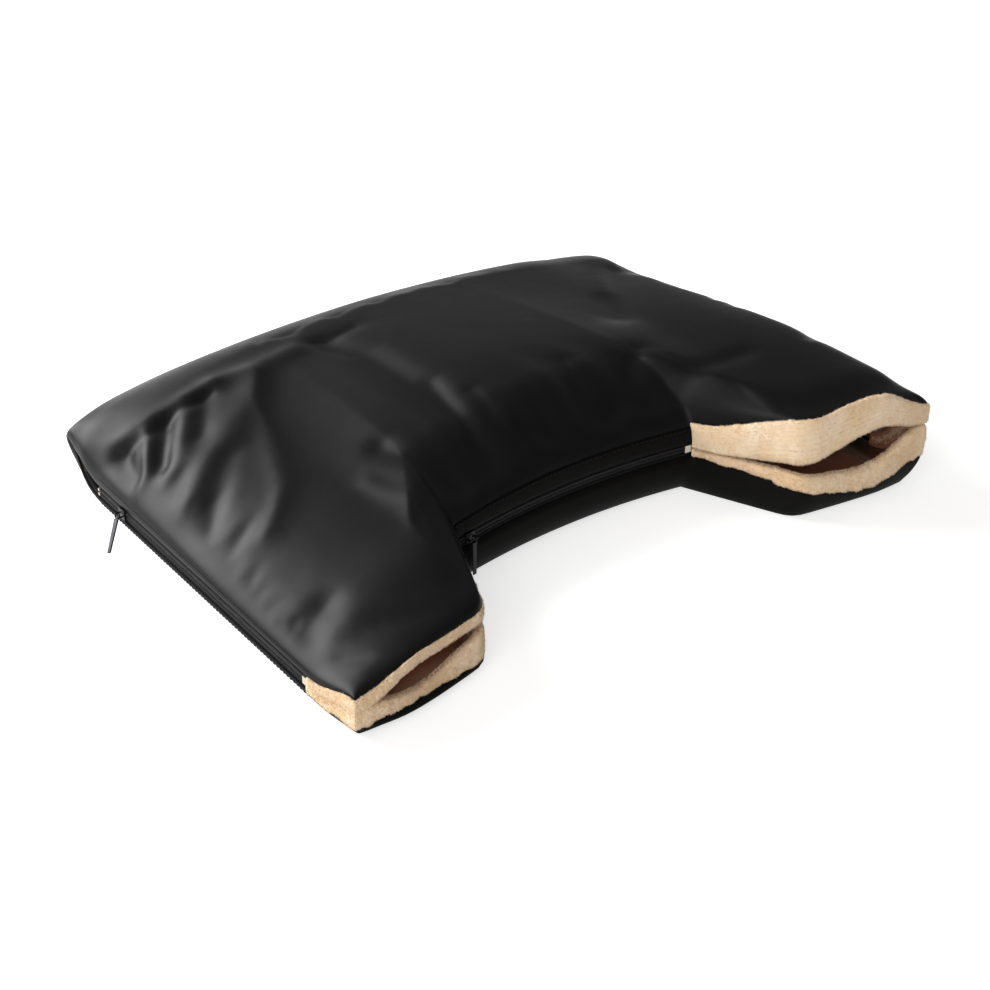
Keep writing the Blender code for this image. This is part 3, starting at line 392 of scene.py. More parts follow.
def top_skin(u, c):
    """Height from the edge to the crest by the rise, less gathers along the front zip, then sunk inward by creases."""
    place, edges = plan(u, c)
    edge = edge_heights(u, c)[0]
    near = across(u, LEFT_FRONT_HEIGHTS, MIDDLE_FRONT_HEIGHT, RIGHT_FRONT_HEIGHTS, PANEL_HEIGHT)
    far = across(u, LEFT_BACK_HEIGHTS, MIDDLE_BACK_HEIGHT, RIGHT_BACK_HEIGHTS, PANEL_HEIGHT)
    height = near + (far - near) * ease((c - CREST) / (1 - CREST))
    front_roll = across(u, (1, 1, 1, 1), 1, RIGHT_MOUTH_ROLLS, TOP_ROLLS[0])
    rise, level = roll_over(edges, (front_roll, *TOP_ROLLS[1:]))
    front = edges[0][0]
    zip_share = np.clip((u - ZIP_U) / (1 - 2 * ZIP_U), 0, 1)
    waves = (1 - np.cos(2 * pi * GATHER_COUNT * zip_share)) / 2
    gathers = GATHER_DEPTH * waves * ease(front / GATHER_PEAK) * (1 - ease((front - GATHER_PEAK) / GATHER_LENGTH))
    z = edge + (height - edge) * rise - gathers
    points = np.concatenate([place, z[..., None]], -1)
    inside = np.concatenate([level, -rise[..., None]], -1)
    return points + inside * (creases(place) * ease(nearest_edge(edges) / CREASE_FADE))[..., None], inside


def bottom_skin(u, c):
    """Flat on the table, turned up at its edges by quarter rounds, with the front wall bulged out under the zip."""
    place, edges = plan(u, c)
    front, front_normal = edges[0]
    over_zip = ease((0.5 - np.abs(u - 0.5) - INNER_U) / (ZIP_U - INNER_U))
    upright = quarter(front / UNDER_ROLLS[0])
    swell = UNDER_FRONT_BULGE * over_zip + across(u, LEFT_MOUTH_BULGES, 0, (0, 0, 0, 0), MOUTH_BULGE)
    place = place - front_normal * (4 * swell * upright * (1 - upright))[..., None]
    fall, level = roll_over(edges, UNDER_ROLLS)
    z = edge_heights(u, c)[1] * (1 - fall)
    return np.concatenate([place, z[..., None]], -1), np.concatenate([level, fall[..., None]], -1)


PANELS = {"top": top_skin, "bottom": bottom_skin}
ZIP_HALVES = {"upper": top_skin, "lower": bottom_skin}
# down or up: the way from each panel to the other one
OTHER_WAY = {top_skin: -1, bottom_skin: 1}


def in_row(points):
    """The same points moved along y, from the pattern's own origin to the solid model's."""
    return points + np.array([0, SHIFT_Y, 0])


# %% [markdown]
# ## Cloth meshes
# A sheet is a grid of points, and a thick one is two grids with a rim between them. Grid lines crowd
# towards the edges, where the cloth turns over, so that the rounds stay smooth.

# %% Grids and meshes
def lines(*stretches):
    """Shares over stretches of start, end, cells and crowding: 1 crowds at the start, -1 at the end, 0 is even."""
    parts = [np.zeros(0)]
    for start, end, cells, crowding in stretches:
        t = np.linspace(0, 1, cells + 1)[:-1]
        t = {1: 1 - np.cos(t * pi / 2), 0: t, -1: np.sin(t * pi / 2)}[crowding]
        parts.append(start + (end - start) * t)
    return np.concatenate([*parts, [stretches[-1][1]]])


def mirrored(*stretches):
    """Lines of the left half, and the same from the right edge."""
    left = lines(*stretches)
    return np.concatenate([left, (1 - left[::-1])[1:]])


def crossings(across_lines, along_lines):
    """u and c wherever a line across the muff meets one along it."""
    return np.meshgrid(across_lines, along_lines, indexing="ij")


def flat_place(u, c):
    """The shares as metres on the flat cloth."""
    return np.stack([u * 2 * HALF_WIDTH, c * BACK_DEPTH], -1)


def new_piece(name, points, faces, material, uv=None, shade=None, body="muff"):
    """A mesh piece that rides on a body. uv is each point's place on the flat cloth in metres, shade painted shade 0 to
    1.
    """
    mesh = bpy.data.meshes.new(name)
    mesh.from_pydata(in_row(points).reshape(-1, 3).tolist(), [], faces)
    if uv is not None:
        loops = np.empty(len(mesh.loops), np.int32)
        mesh.loops.foreach_get("vertex_index", loops)
        layer = mesh.uv_layers.new(name="cloth")
        layer.data.foreach_set("uv", uv.reshape(-1, 2)[loops].ravel())
    if shade is not None:
        mesh.attributes.new("shade", "FLOAT", "POINT").data.foreach_set("value", shade.ravel())
    mesh.materials.append(material)
    mesh.shade_smooth()
    obj = bpy.data.objects.new(name, mesh)
    scene.collection.objects.link(obj)
    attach(obj, body)
    return obj


def quads(rows, columns, wrap=False):
    """Faces of a grid of points, its last column joined to its first if it wraps."""
    index = np.arange(rows * columns).reshape(rows, columns)
    after = np.roll(index, -1, axis=1) if wrap else index[:, 1:]
    index = index if wrap else index[:, :-1]
    return np.stack([index[:-1], index[1:], after[1:], after[:-1]], -1).reshape(-1, 4)


def slab_faces(rows, columns, upward):
    """Both faces and the rim of a sheet that is an outer grid followed by an inner one."""
    index = np.arange(rows * columns).reshape(rows, columns)
    rim = np.concatenate([index[:-1, 0], index[-1, :-1], index[:0:-1, -1], index[0, :0:-1]])
    following = np.roll(rim, -1)
    offset = rows * columns
    sheet = quads(rows, columns)
    walls = np.stack([following, rim, rim + offset, following + offset], -1)
    faces = np.concatenate([sheet, sheet[:, ::-1] + offset, walls])
    return (faces if upward else faces[:, ::-1]).tolist()


def new_slab(name, outer, inner, material, shade=None):
    """A closed sheet between two grids, with its flat lengths across and along as its UV map."""
    rows, columns = outer.shape[:2]
    upward = np.mean(outer[..., 2] - inner[..., 2]) > 0
    step_u = np.linalg.norm(np.diff(outer, axis=0), axis=-1)
    step_v = np.linalg.norm(np.diff(outer, axis=1), axis=-1)
    flat_u = np.concatenate([np.zeros((1, columns)), np.cumsum(step_u, axis=0)])
    flat_v = np.concatenate([np.zeros((rows, 1)), np.cumsum(step_v, axis=1)], axis=1)
    uv = np.stack([np.stack([flat_u, flat_v], -1)] * 2)
    shade = None if shade is None else np.stack([shade, shade])
    return new_piece(name, np.stack([outer, inner]), slab_faces(rows, columns, upward), material, uv, shade)


def new_loft(name, rings, material, shade=None):
    """A closed solid through rings of points, capped at both ends."""
    count, points = rings.shape[:2]
    index = np.arange(count * points).reshape(count, points)
    faces = quads(count, points, wrap=True).tolist()
    faces += [index[0, ::-1].tolist(), index[-1].tolist()]
    volume = np.sum(rings[:-1] * np.cross(np.roll(rings[:-1], -1, axis=1), rings[1:]))
    if volume < 0:
        faces = [face[::-1] for face in faces]
    around = np.linalg.norm(np.diff(rings, axis=1, append=rings[:, :1]), axis=-1)
    along = np.linalg.norm(np.diff(rings, axis=0, prepend=rings[:1]), axis=-1)
    uv = np.stack([np.cumsum(along, axis=0), np.cumsum(around, axis=1)], -1)
    return new_piece(name, rings, faces, material, uv, shade)


# %% Noise
def noise(points, cell, seed):
    """Smooth value noise from -1 to 1: random values on a lattice of that cell size, eased between its corners."""
    rng = np.random.default_rng(seed)
    size = 32
    table = rng.uniform(-1, 1, (size, size, size))
    scaled = points / cell
    base = np.floor(scaled).astype(int)
    t = scaled - base
    t = t * t * (3 - 2 * t)
    total = 0
    for corner in np.ndindex(2, 2, 2):
        weight = np.prod(np.where(corner, t, 1 - t), axis=-1)
        i, j, k = np.moveaxis((base + corner) % size, -1, 0)
        total = total + weight * table[i, j, k]
    return total


print("noise at the origin:", round(float(noise(np.zeros(3), 0.01, 1)), 3))

# %% [markdown]
# ## Materials
# Each one starts from what the real thing is, and its pattern sizes are in millimetres.


# %% Cloth, fleece and metal
WEAVE_PITCH = 0.001


def weave(tree):
    """Warp and weft as two waves across each other on the cloth's own UV map, in metres."""
    uv = add(tree, "UVMap", uv_map="cloth")
    warp, weft = (add(tree, "TexWave", {"Vector": uv.outputs[0], "Scale": pi / 10 / WEAVE_PITCH}, wave_type="BANDS",
                      bands_direction=axis, wave_profile="SIN").outputs["Fac"] for axis in "XY")
    return add(tree, "Math", {0: warp, 1: weft}, operation="MULTIPLY").outputs[0]


def add_noise(tree, cell_mm, detail=2.0, roughness=0.5):
    """Noise on Object coordinates whose largest lumps are about that size."""
    place = add(tree, "TexCoord")
    return add(tree, "TexNoise", {"Vector": place.outputs["Object"], "Scale": 1000 / cell_mm / 2, "Detail": detail,
                                  "Roughness": roughness}).outputs["Fac"]


def add_bumps(tree, shader, *layers):
    """Bumps over each other, each a height with its strength and its depth in metres, as the shader's normal."""
    normal = {}
    for height, strength, distance in layers:
        bump = add(tree, "Bump", {"Height": height, "Strength": strength, "Distance": distance, **normal})
        normal = {"Normal": bump.outputs[0]}
    tree.links.new(bump.outputs[0], shader.inputs["Normal"])


def vary_gloss(tree, shader, spots, low, high, start=0.0, end=1.0):
    """The shader's roughness from low to high, as the spots go from start to end."""
    limits = {"Value": spots, "From Min": start, "From Max": end, "To Min": low, "To Max": high}
    tree.links.new(add(tree, "MapRange", limits).outputs[0], shader.inputs["Roughness"])


# Black satin-weave polyester with a waterproof back. Close, smooth threads give a soft grey shine
# where the lamp is mirrored, and the stiff coating keeps small crinkles in it. Threads are 0.2 mm
# apart, too fine for the picture, so the weave is drawn at 1 mm.
SATIN, tree, shader = new_material("satin-weave polyester", "#0C0C0D", 0.42, Specular_IOR_Level=0.16)
crinkle = add_noise(tree, 9, detail=3, roughness=0.45)
add_bumps(tree, shader, (crinkle, 0.10, 0.0022), (weave(tree), 0.10, 0.0002))
vary_gloss(tree, shader, add_noise(tree, 30), 0.39, 0.46, 0.3, 0.7)

# The under panel, and the front placket: the same cloth, but matt and a warmer black.
UNDER_CLOTH, tree, shader = new_material("matt warm black polyester", "#0A0908", 0.62, Specular_IOR_Level=0.07)
add_bumps(tree, shader, (add_noise(tree, 14, detail=3), 0.12, 0.003), (weave(tree), 0.15, 0.0002))

# Cream plush fleece: fine polyester pile 4 mm long, brushed up. It scatters light like snow, so it is
# pale and soft where the tips show. Deep inside, painted shade turns the pile brown, and darker still
# along the closed seams; the shade value of each piece sets how much of this painted shade it gets.
FLEECE, tree, shader = new_material("plush fleece", "#F6E0C2", 0.9, Specular_IOR_Level=0.15, Sheen_Weight=0.4,
                                    Sheen_Roughness=0.6, Sheen_Tint=srgb("#FFF3E0"))
pile = add_noise(tree, 1.6, detail=3, roughness=0.6)
patches = add_noise(tree, 12)
mix = add(tree, "Math", {0: pile, 1: patches}, operation="ADD")
tone = add(tree, "MapRange", {"Value": mix.outputs[0], "From Min": 0.7, "From Max": 1.3})
ramp = add(tree, "ValToRGB", {"Fac": tone.outputs[0]})
ramp.color_ramp.elements[0].color = srgb("#F3D2A6")
ramp.color_ramp.elements[1].color = srgb("#FFE8CC")
# painted shade: the shade value takes the fleece from its own colour through brown to near black
shade = add(tree, "Attribute", attribute_name="shade")
painted_shade_ramp = add(tree, "ValToRGB", {"Fac": shade.outputs["Fac"]})
painted_shade_ramp.color_ramp.elements[0].color = (1, 1, 1, 1)
painted_shade_ramp.color_ramp.elements[1].color = srgb("#21130B")
painted_shade_ramp.color_ramp.elements.new(0.8).color = srgb("#A8643C")
colour = add(tree, "Mix", {0: 1.0, 6: ramp.outputs["Color"], 7: painted_shade_ramp.outputs["Color"]}, data_type="RGBA",
             blend_type="MULTIPLY")
tree.links.new(colour.outputs[2], shader.inputs["Base Color"])
add_bumps(tree, shader, (pile, 0.35, 0.0010))

# White polyester wadding, bonded fibre, matt and slightly lumpy. It is closed in by the cloth.
WADDING, tree, shader = new_material("polyester wadding", "#E9E9E4", 0.95)
add_bumps(tree, shader, (add_noise(tree, 4), 0.4, 0.001))

# Woven polyester zip tape, flat and matt, with ribs 0.5 mm apart drawn at 1 mm.
TAPE, tree, shader = new_material("woven polyester tape", "#0B0B0C", 0.7, Specular_IOR_Level=0.15)
add_bumps(tree, shader, (weave(tree), 0.3, 0.0002))

# Extruded nylon coil of the zips, smooth plastic with a small bright glint on each turn.
NYLON, tree, shader = new_material("extruded nylon", "#101011", 0.34, Specular_IOR_Level=0.3)
vary_gloss(tree, shader, add_noise(tree, 3), 0.28, 0.42)

# Spun polyester sewing thread, black, a little paler than the satin it lies on.
THREAD, tree, shader = new_material("spun polyester thread", "#141415", 0.65, Specular_IOR_Level=0.25)
add_bumps(tree, shader, (add_noise(tree, 0.6), 0.3, 0.0001))


def plated(name, colour, roughness):
    """Plated zinc: the colour on a metal whose gloss varies a little, as tumbled castings do."""
    material, tree, shader = new_material(name, colour, roughness, Metallic=1.0)
    spots = add_noise(tree, 1.5, detail=3)
    vary_gloss(tree, shader, spots, roughness - 0.08, roughness + 0.10)
    add_bumps(tree, shader, (spots, 0.15, 0.0002))
    return material


# Die-cast zinc sliders and pulls with a black nickel plating, and bright nickel stops and end boxes.
GUNMETAL = plated("black nickel plating", "#2B2B2E", 0.36)
NICKEL = plated("nickel plating", "#CFC8B8", 0.38)
MADE = (SATIN, UNDER_CLOTH, FLEECE, WADDING, TAPE, NYLON, THREAD, GUNMETAL, NICKEL)
print("materials:", [material.name for material in MADE])

# %% [markdown]
# ## The outer shell
# The shell is one layer of satin. The top one is blown up by the wadding under it, so its grid is run as
# cloth: a little too large for its frame, held along its edges, with pressure from inside. That gives the
# small puckers that no formula has. The bottom one lies flat on the table.

# %% Top shell
SHELL_THICKNESS = 0.0006
TOP_U = mirrored((0, INNER_U, 22, 1), (INNER_U, ZIP_U, 18, 0), (ZIP_U, 0.5, 22, 0))
TOP_C = lines((0, 0.19, 12, 1), (0.19, 0.87, 60, 0), (0.87, 1, 9, -1))
u, c = crossings(TOP_U, TOP_C)
points, inside = top_skin(u, c)
faces = quads(*u.shape)
top_shell = new_piece("top_shell_cloth", points, faces.tolist(), SATIN, uv=flat_place(u, c))
print("top shell cells:", len(faces))

# %% Puckers by cloth simulation
PUCKER_MOST, PUCKER_INWARD = 0.0018, 0.0008
PUCKER_FADE, PUCKER_BACK_FADE, SEWN_WIDTH = 0.030, 0.110, 0.004
CLOTH_GROWTH, CLOTH_FRAMES = 0.02, 20


def run_cloth(obj, edge_weight):
    """Lets the piece settle as cloth for some frames, pinned where the edge weight is 1, and returns its new points."""
    group = obj.vertex_groups.new(name="held")
    for index in np.flatnonzero(edge_weight > 0):
        group.add([int(index)], float(edge_weight[index]), "REPLACE")
    cloth = obj.modifiers.new("settle", "CLOTH")
    settings = cloth.settings
    settings.quality = 6
    settings.mass = 0.2
    settings.tension_stiffness = settings.compression_stiffness = 12
    settings.shear_stiffness = 6
    settings.bending_stiffness = 0.6
    settings.vertex_group_mass = "held"
    settings.shrink_min = -CLOTH_GROWTH
    settings.use_pressure = True
    settings.uniform_pressure_force = 4
    settings.effector_weights.gravity = 0
    cloth.point_cache.frame_start, cloth.point_cache.frame_end = 1, CLOTH_FRAMES
    for step in range(1, CLOTH_FRAMES + 1):
        scene.frame_set(step)
    settled = obj.evaluated_get(bpy.context.evaluated_depsgraph_get()).to_mesh()
    result = np.empty(len(settled.vertices) * 3, np.float32)
    settled.vertices.foreach_get("co", result)
    obj.modifiers.remove(cloth)
    obj.vertex_groups.remove(group)
    scene.frame_set(1)
    return result.reshape(-1, 3)


edges = plan(u, c)[1]
nearest, back = nearest_edge(edges).ravel(), edges[1][0].ravel()
start = in_row(points).reshape(-1, 3)
moved = run_cloth(top_shell, (nearest < SEWN_WIDTH).astype(float)) - start
outward = -inside.reshape(-1, 3)
size = np.sum(moved * outward, axis=1)
most = np.where(size > 0, PUCKER_MOST, PUCKER_INWARD) * ease(nearest / PUCKER_FADE) * ease(back / PUCKER_BACK_FADE)
moved = outward * (most * np.tanh(size / np.maximum(most, 1e-6)))[:, None]
top_shell.data.vertices.foreach_set("co", (start + moved).astype(np.float32).ravel())
top_shell.data.update()
print("cloth moved at most, mm:", round(1000 * float(size.max()), 1))

# %% Thickness of the shell
smoothing = top_shell.modifiers.new("smooth", "SUBSURF")
smoothing.levels = smoothing.render_levels = 1
smoothing.boundary_smooth = "PRESERVE_CORNERS"
wall = top_shell.modifiers.new("cloth thickness", "SOLIDIFY")
wall.thickness = SHELL_THICKNESS
wall.offset = -1
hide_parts("top_shell")

UNDER_U = mirrored((0, 0.05 * INNER_U, 5, 1), (0.05 * INNER_U, INNER_U, 16, 0), (INNER_U, ZIP_U, 14, 0),
                   (ZIP_U, 0.5, 18, 0))
UNDER_C = lines((0, 0.035, 9, 1), (0.035, 0.88, 36, 0), (0.88, 1, 10, -1))
u, c = crossings(UNDER_U, UNDER_C)
points, inside = bottom_skin(u, c)
bottom_shell = new_slab("bottom_shell_cloth", points, points + inside * SHELL_THICKNESS, UNDER_CLOTH)
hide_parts("bottom_shell")
print("bottom shell points:", points.shape[:2])

# %% [markdown]
# ## Wadding and lining
# Between shell and lining lies a pad of wadding, full in the middle and thinned towards the seams. The
# lining is fleece, with its pile on the inside, where the hands go.

# %% Depths of the layers
GAP, TAPE_THICKNESS, WADDING_THICKNESS, LINING_THICKNESS, LAYER_TAPER = 0.0003, 0.0006, 0.0062, 0.004, 0.035
SHELF_DEPTH = SHELL_THICKNESS + 2 * GAP + TAPE_THICKNESS
FULL_DEPTH = SHELL_THICKNESS + WADDING_THICKNESS + 2 * GAP


def lining_depth(u, c):
    """From the shelf behind the zip tapes to the full depth, eased over the taper from the nearest edge."""
    nearest = nearest_edge(plan(u, c)[1])
    return (SHELF_DEPTH + (FULL_DEPTH - SHELF_DEPTH) * ease(nearest / LAYER_TAPER))[..., None]


# %% Wadding pads
PAD_GAP = 0.0034
PAD_U = mirrored((0.012, INNER_U, 24, 0), (INNER_U, ZIP_U, 16, 0), (ZIP_U, 0.5, 16, 0))
PAD_C = lines((0.02, 0.97, 70, 0))
u, c = crossings(PAD_U, PAD_C)
for side, skin in PANELS.items():
    points, inside = skin(u, c)
    far = lining_depth(u, c) - 2 * GAP
    near = SHELL_THICKNESS + GAP + PAD_GAP * ease((far - SHELF_DEPTH) / (FULL_DEPTH - SHELF_DEPTH))
    pad = new_slab(f"{side}_wadding_pad", points + inside * near, points + inside * np.maximum(far, near + GAP),
                   WADDING)
    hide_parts(f"{side}_wadding")
print("wadding pads:", PAD_U.size, "by", PAD_C.size)

# %% Fleece linings
PILE_LUMP, PILE_CELL, PILE_INSET, SHADE_REACH, SEAM_SHADE_REACH = 0.0008, 0.004, 0.0010, 0.028, 0.035
LINING_U = mirrored((0, INNER_U, 34, 0), (INNER_U, ZIP_U, 24, 0), (ZIP_U, 0.5, 14, 0))
LINING_C = lines((0, 0.28, 36, 0), (0.28, 1, 26, 0))
u, c = crossings(LINING_U, LINING_C)
linings = {}
for side, skin in PANELS.items():
    points, inside = skin(u, c)
    depth = lining_depth(u, c)
    lump = PILE_LUMP * noise(points, PILE_CELL, 3)[..., None]
    inner = points + inside * (depth + LINING_THICKNESS - PILE_INSET + lump)
    edges = plan(u, c)[1]
    # painted shade: the lining turns brown a short way in from the mouth, and near black beside the closed side and
    # back seams
    seam_shade = 1 - ease(nearest_edge(edges[1:]) / SEAM_SHADE_REACH)
    shade = 0.8 * ease(edges[0][0] / SHADE_REACH) + 0.2 * seam_shade * ease(edges[0][0] / SEAM_SHADE_REACH / 2)
    linings[side] = new_slab(f"{side}_fleece_lining", points + inside * depth, inner, FLEECE, shade=shade)
    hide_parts(f"{side}_lining")
print("linings:", list(linings))

# %% [markdown]
# ## Fleece lips
# Round each hand opening the lining is turned out in a thick soft lip. It follows the opening's edge from
# the end of the front zip, round the inner corner, along the front and round the outer corner to the side
# zip. Its section is a rounded loop, and tufts of pile stand along it.

# %% Lips
CUFF_GAP, CUFF_FALL, CUFF_END_FALL = 0.0005, 0.040, 0.0058
CUFF_DEPTH = SHELF_DEPTH + LINING_THICKNESS
# at outer corner, mid mouth, inner corner and zip end: share of the fall, then proudness and lap over the shell in mm
LIPS = {
    "left_top_cuff": (top_skin, False, (0.32, 0.20, 0.20, 0.12), (1.8, 1.2, 0.8, -2.5), (0, 0, 0, 0)),
    "left_bottom_cuff": (bottom_skin, False, (0.36, 0.13, 0.50, 0.12), (1.8, 0.8, 1.2, -2.5), (0, 0, 0, 0)),
    "right_top_cuff": (top_skin, True, (0.38, 0.54, 0.84, 0.12), (1.6, 3.2, 1.9, 1.2), (2, 8, 4, 15)),
    "right_bottom_cuff": (bottom_skin, True, (0.58, 0.40, 0.28, 0.11), (1.4, 2.4, 1.6, 1.0), (1, 1, 0, 0)),
}
# section of a lip: its way out as a share of the proudness or in as a share of the depth, its share of the fall, and
# its share of the lap
LIP_SECTION = ((-0.15, 0.0, 0.0), (0.55, 0.0, 1.0), (1.1, 0.14, 0.8), (1.2, 0.45, 0.35), (1.0, 0.80, 0), (0.2, 0.98, 0),
               (-0.42, 1.03, 0), (-0.85, 0.93, 0), (-1.02, 0.60, 0), (-1.0, 0.0, 0))
LIP_SAMPLES, MOUTH_SAMPLES, SIDE_SAMPLES, WALK, WALK_STEPS, LAP_FULL, LAP_LIFT = 44, 220, 50, 0.040, 32, 0.004, 0.0008
RAGGED_DEPTH, RAGGED_CELL, RAGGED_BIAS, RAGGED_AT, RAGGED_SPAN, RAGGED_TOP = 0.0018, 0.006, 0.4, 0.05, 0.18, 0.35
LIP_SHADE, SHADE_GAIN, TABLE_UNIT, SIDE_PROUD = 0.7, 1.2, 0.001, 0.0012
LIP_LUMPS = ((0.0006, 0.006, 5), (0.0003, 0.0022, 6))


def smooth_loop(controls, samples):
    """A closed Catmull-Rom curve through the control points, sampled evenly over them."""
    controls = np.array(controls, float)
    count = len(controls)
    t = np.arange(samples) * count / samples
    cell = t.astype(int)
    t = (t - cell)[:, None]
    a, b, c, d = (controls[(cell + step) % count] for step in (-1, 0, 1, 2))
    return 0.5 * (2 * b + (c - a) * t + (2 * a - 5 * b + 4 * c - d) * t ** 2 + (3 * b - a - 3 * c + d) * t ** 3)


def mouth_path(skin, right):
    """Edge points, outward directions and u, c of a panel from the front zip's end to the side zip's front end."""
    u = np.concatenate([np.linspace(ZIP_U, 0, MOUTH_SAMPLES), np.zeros(SIDE_SAMPLES)])
    c = np.concatenate([np.zeros(MOUTH_SAMPLES), np.linspace(0, MOUTH_C, SIDE_SAMPLES + 1)[1:]])
    u = 1 - u if right else u
    points, inside = skin(u, c)
    return points, -inside, u, c


def walk_in(skin, u, c, lengths):
    """Skin points and outward directions at lengths walked over the skin, inward from the mouth's edge."""
    turned = ease(c / MOUTH_C * 2)
    steps = WALK * np.linspace(0, 1, WALK_STEPS) ** 2
    across_by, along_by = np.where(u > 0.5, -1, 1) * turned / (2 * HALF_WIDTH), (1 - turned) / SIDE_LENGTH
    points, inside = skin(u[:, None] + across_by[:, None] * steps, c[:, None] + along_by[:, None] * steps)
    walked = np.cumsum(np.linalg.norm(np.diff(points, axis=1, prepend=points[:, :1]), axis=-1), axis=1)
    cell = np.clip(np.sum(walked[:, None] <= lengths[..., None], axis=-1) - 1, 0, WALK_STEPS - 2)
    low, high = np.take_along_axis(walked, cell, 1), np.take_along_axis(walked, cell + 1, 1)
    share = np.clip((lengths - low) / np.maximum(high - low, 1e-9), 0, 1)[..., None]
    row = np.arange(len(u))[:, None]
    mix = [grid[row, cell] * (1 - share) + grid[row, cell + 1] * share for grid in (points, -inside)]
    return mix[0], normalised(mix[1])


def lip_value(u, c, shares, size, end):
    """The table's shares times a size along the front, then easing to the end value up the side."""
    front = across(np.where(u > 0.5, 1 - u, u), shares, end / size, shares, size)
    return end + (front - end) * (1 - ease(c / MOUTH_C))


# the cloth that the turn over a lip's edge takes up
LIP_TURN = 0.006
lips, lip_rings, lip_sizes = {}, {}, {}
for name, (skin, right, falls, prouds, laps) in LIPS.items():
    edge, out, u, c = mouth_path(skin, right)
    fall = lip_value(u, c, falls, CUFF_FALL, CUFF_END_FALL)
    proud = lip_value(u, c, prouds, TABLE_UNIT, SIDE_PROUD)
    lap = lip_value(u, c, laps, TABLE_UNIT, 0.0)
    way = OTHER_WAY[skin]
    loop = smooth_loop(LIP_SECTION, LIP_SAMPLES)
    level = np.where(loop[:, 0] > 0, loop[:, 0] * proud[:, None],
                     loop[:, 0] * CUFF_DEPTH + np.minimum(proud, 0)[:, None])
    base, base_out = walk_in(skin, u, c, lap[:, None] * loop[:, 2])
    lapped = loop[:, 2] * np.minimum(lap / LAP_FULL, 1)[:, None]
    rings = base + base_out * (level + LAP_LIFT * lapped)[..., None]
    rings[..., 2] += way * (CUFF_GAP + fall[:, None] * loop[:, 1] * (1 - lapped))
    rags = RAGGED_DEPTH * np.maximum(noise(edge + out * 0.002, RAGGED_CELL, 9) + RAGGED_BIAS, 0)[:, None]
    low = np.exp(-((loop[:, 1] - RAGGED_AT) / RAGGED_SPAN) ** 2) * (loop[:, 0] > 0.3)
    rings[..., 2] -= way * rags * low * (1 if way > 0 else RAGGED_TOP)
    outward = normalised(rings - rings.mean(axis=1, keepdims=True))
    rings = rings + outward * sum(depth * noise(rings, cell, seed) for depth, cell, seed in LIP_LUMPS)[..., None]
    # painted shade: the lip turns browner towards its inner face, which lies inside the bag
    shade = LIP_SHADE * ease(-np.broadcast_to(loop[:, 0], rings.shape[:2]) * SHADE_GAIN)
    lips[name] = new_loft(f"{name}_lip", rings, FLEECE, shade=shade)
    lip_rings[name] = (rings, outward, way)
    length = np.linalg.norm(np.diff(rings.mean(axis=1), axis=0), axis=1).sum()
    lip_sizes[name] = (float(fall.mean()) + LIP_TURN, float(length))
    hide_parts(name)
print("lips:", list(lips))

# %% [markdown]
# ## Tufts of pile
# The edge of a plush lip is ragged, because the pile leans out in tufts. Each tuft is a thin three-sided
# spike with a bent tip, and thousands of them are worked out at once as arrays.


# %% Tufts
TUFTS_PER_LIP, TUFT_LENGTH, TUFT_WIDTH = 9000, 0.0014, 0.00030
TUFT_SCATTER, TUFT_BEND, TUFT_LENGTHS, TUFT_WIDTHS = 0.45, 0.35, (0.6, 1.25), (0.7, 1.3)
TUFT_ROOT, TUFT_MIDDLE, TUFT_WAIST, TUFT_DROOP, TUFTED_SHARE = 0.3, 0.45, 0.6, 0.5, 0.86
TUFT_FACES = np.array([(0, 1, 4), (0, 4, 3), (1, 2, 5), (1, 5, 4), (2, 0, 3), (2, 3, 5), (3, 4, 6), (4, 5, 6),
                       (5, 3, 6), (0, 2, 1)])


def tufts(name, roots, ways, length, width, seed):
    """Spikes of three rings: a wide foot, a narrower middle, and a point bent a little to one side."""
    rng = np.random.default_rng(seed)
    count = len(roots)
    ways = normalised(ways + rng.normal(0, TUFT_SCATTER, (count, 3)))
    side = normalised(np.cross(ways, rng.normal(0, 1, (count, 3))))
    other = np.cross(ways, side)
    long = length * rng.uniform(*TUFT_LENGTHS, (count, 1))
    wide = width * rng.uniform(*TUFT_WIDTHS, (count, 1))
    bend = side * rng.uniform(-TUFT_BEND, TUFT_BEND, (count, 1)) * long
    turns = np.arange(3) * 2 * pi / 3
    spread = side[:, None] * np.cos(turns)[None, :, None] + other[:, None] * np.sin(turns)[None, :, None]
    foot = (roots - ways * TUFT_ROOT * long)[:, None] + spread * wide[:, None]
    middle = (roots + ways * TUFT_MIDDLE * long)[:, None] + spread * TUFT_WAIST * wide[:, None]
    tip = (roots + ways * long + bend)[:, None]
    points = np.concatenate([foot, middle, tip], axis=1)
    faces = (TUFT_FACES[None] + 7 * np.arange(count)[:, None, None]).reshape(-1, 3)
    return new_piece(name, points, faces.tolist(), FLEECE)


for number, (name, (rings, outward, way)) in enumerate(lip_rings.items()):
    rng = np.random.default_rng(20 + number)
    count, samples = rings.shape[:2]
    # this share of the section is the outer face, the free lip and the start of the inner face
    at = rng.integers(2, count - 2, TUFTS_PER_LIP), rng.integers(3, int(samples * TUFTED_SHARE), TUFTS_PER_LIP)
    roots, ways = rings[at], outward[at].copy()
    ways[:, 2] += way * TUFT_DROOP
    pile = tufts(f"{name}_tufts", roots, ways, TUFT_LENGTH, TUFT_WIDTH, 30 + number)
    width, length = lip_sizes[name]
    print(name, "flat, mm:", round(1000 * width), round(1000 * length))

# %% [markdown]
# ## Zips
# A coil zip is a nylon spiral sewn to a woven tape on each side, a slider with a pull, small stops at one
# end and a box at the other. The spiral is swept as a flattened helix, because that is what it is.

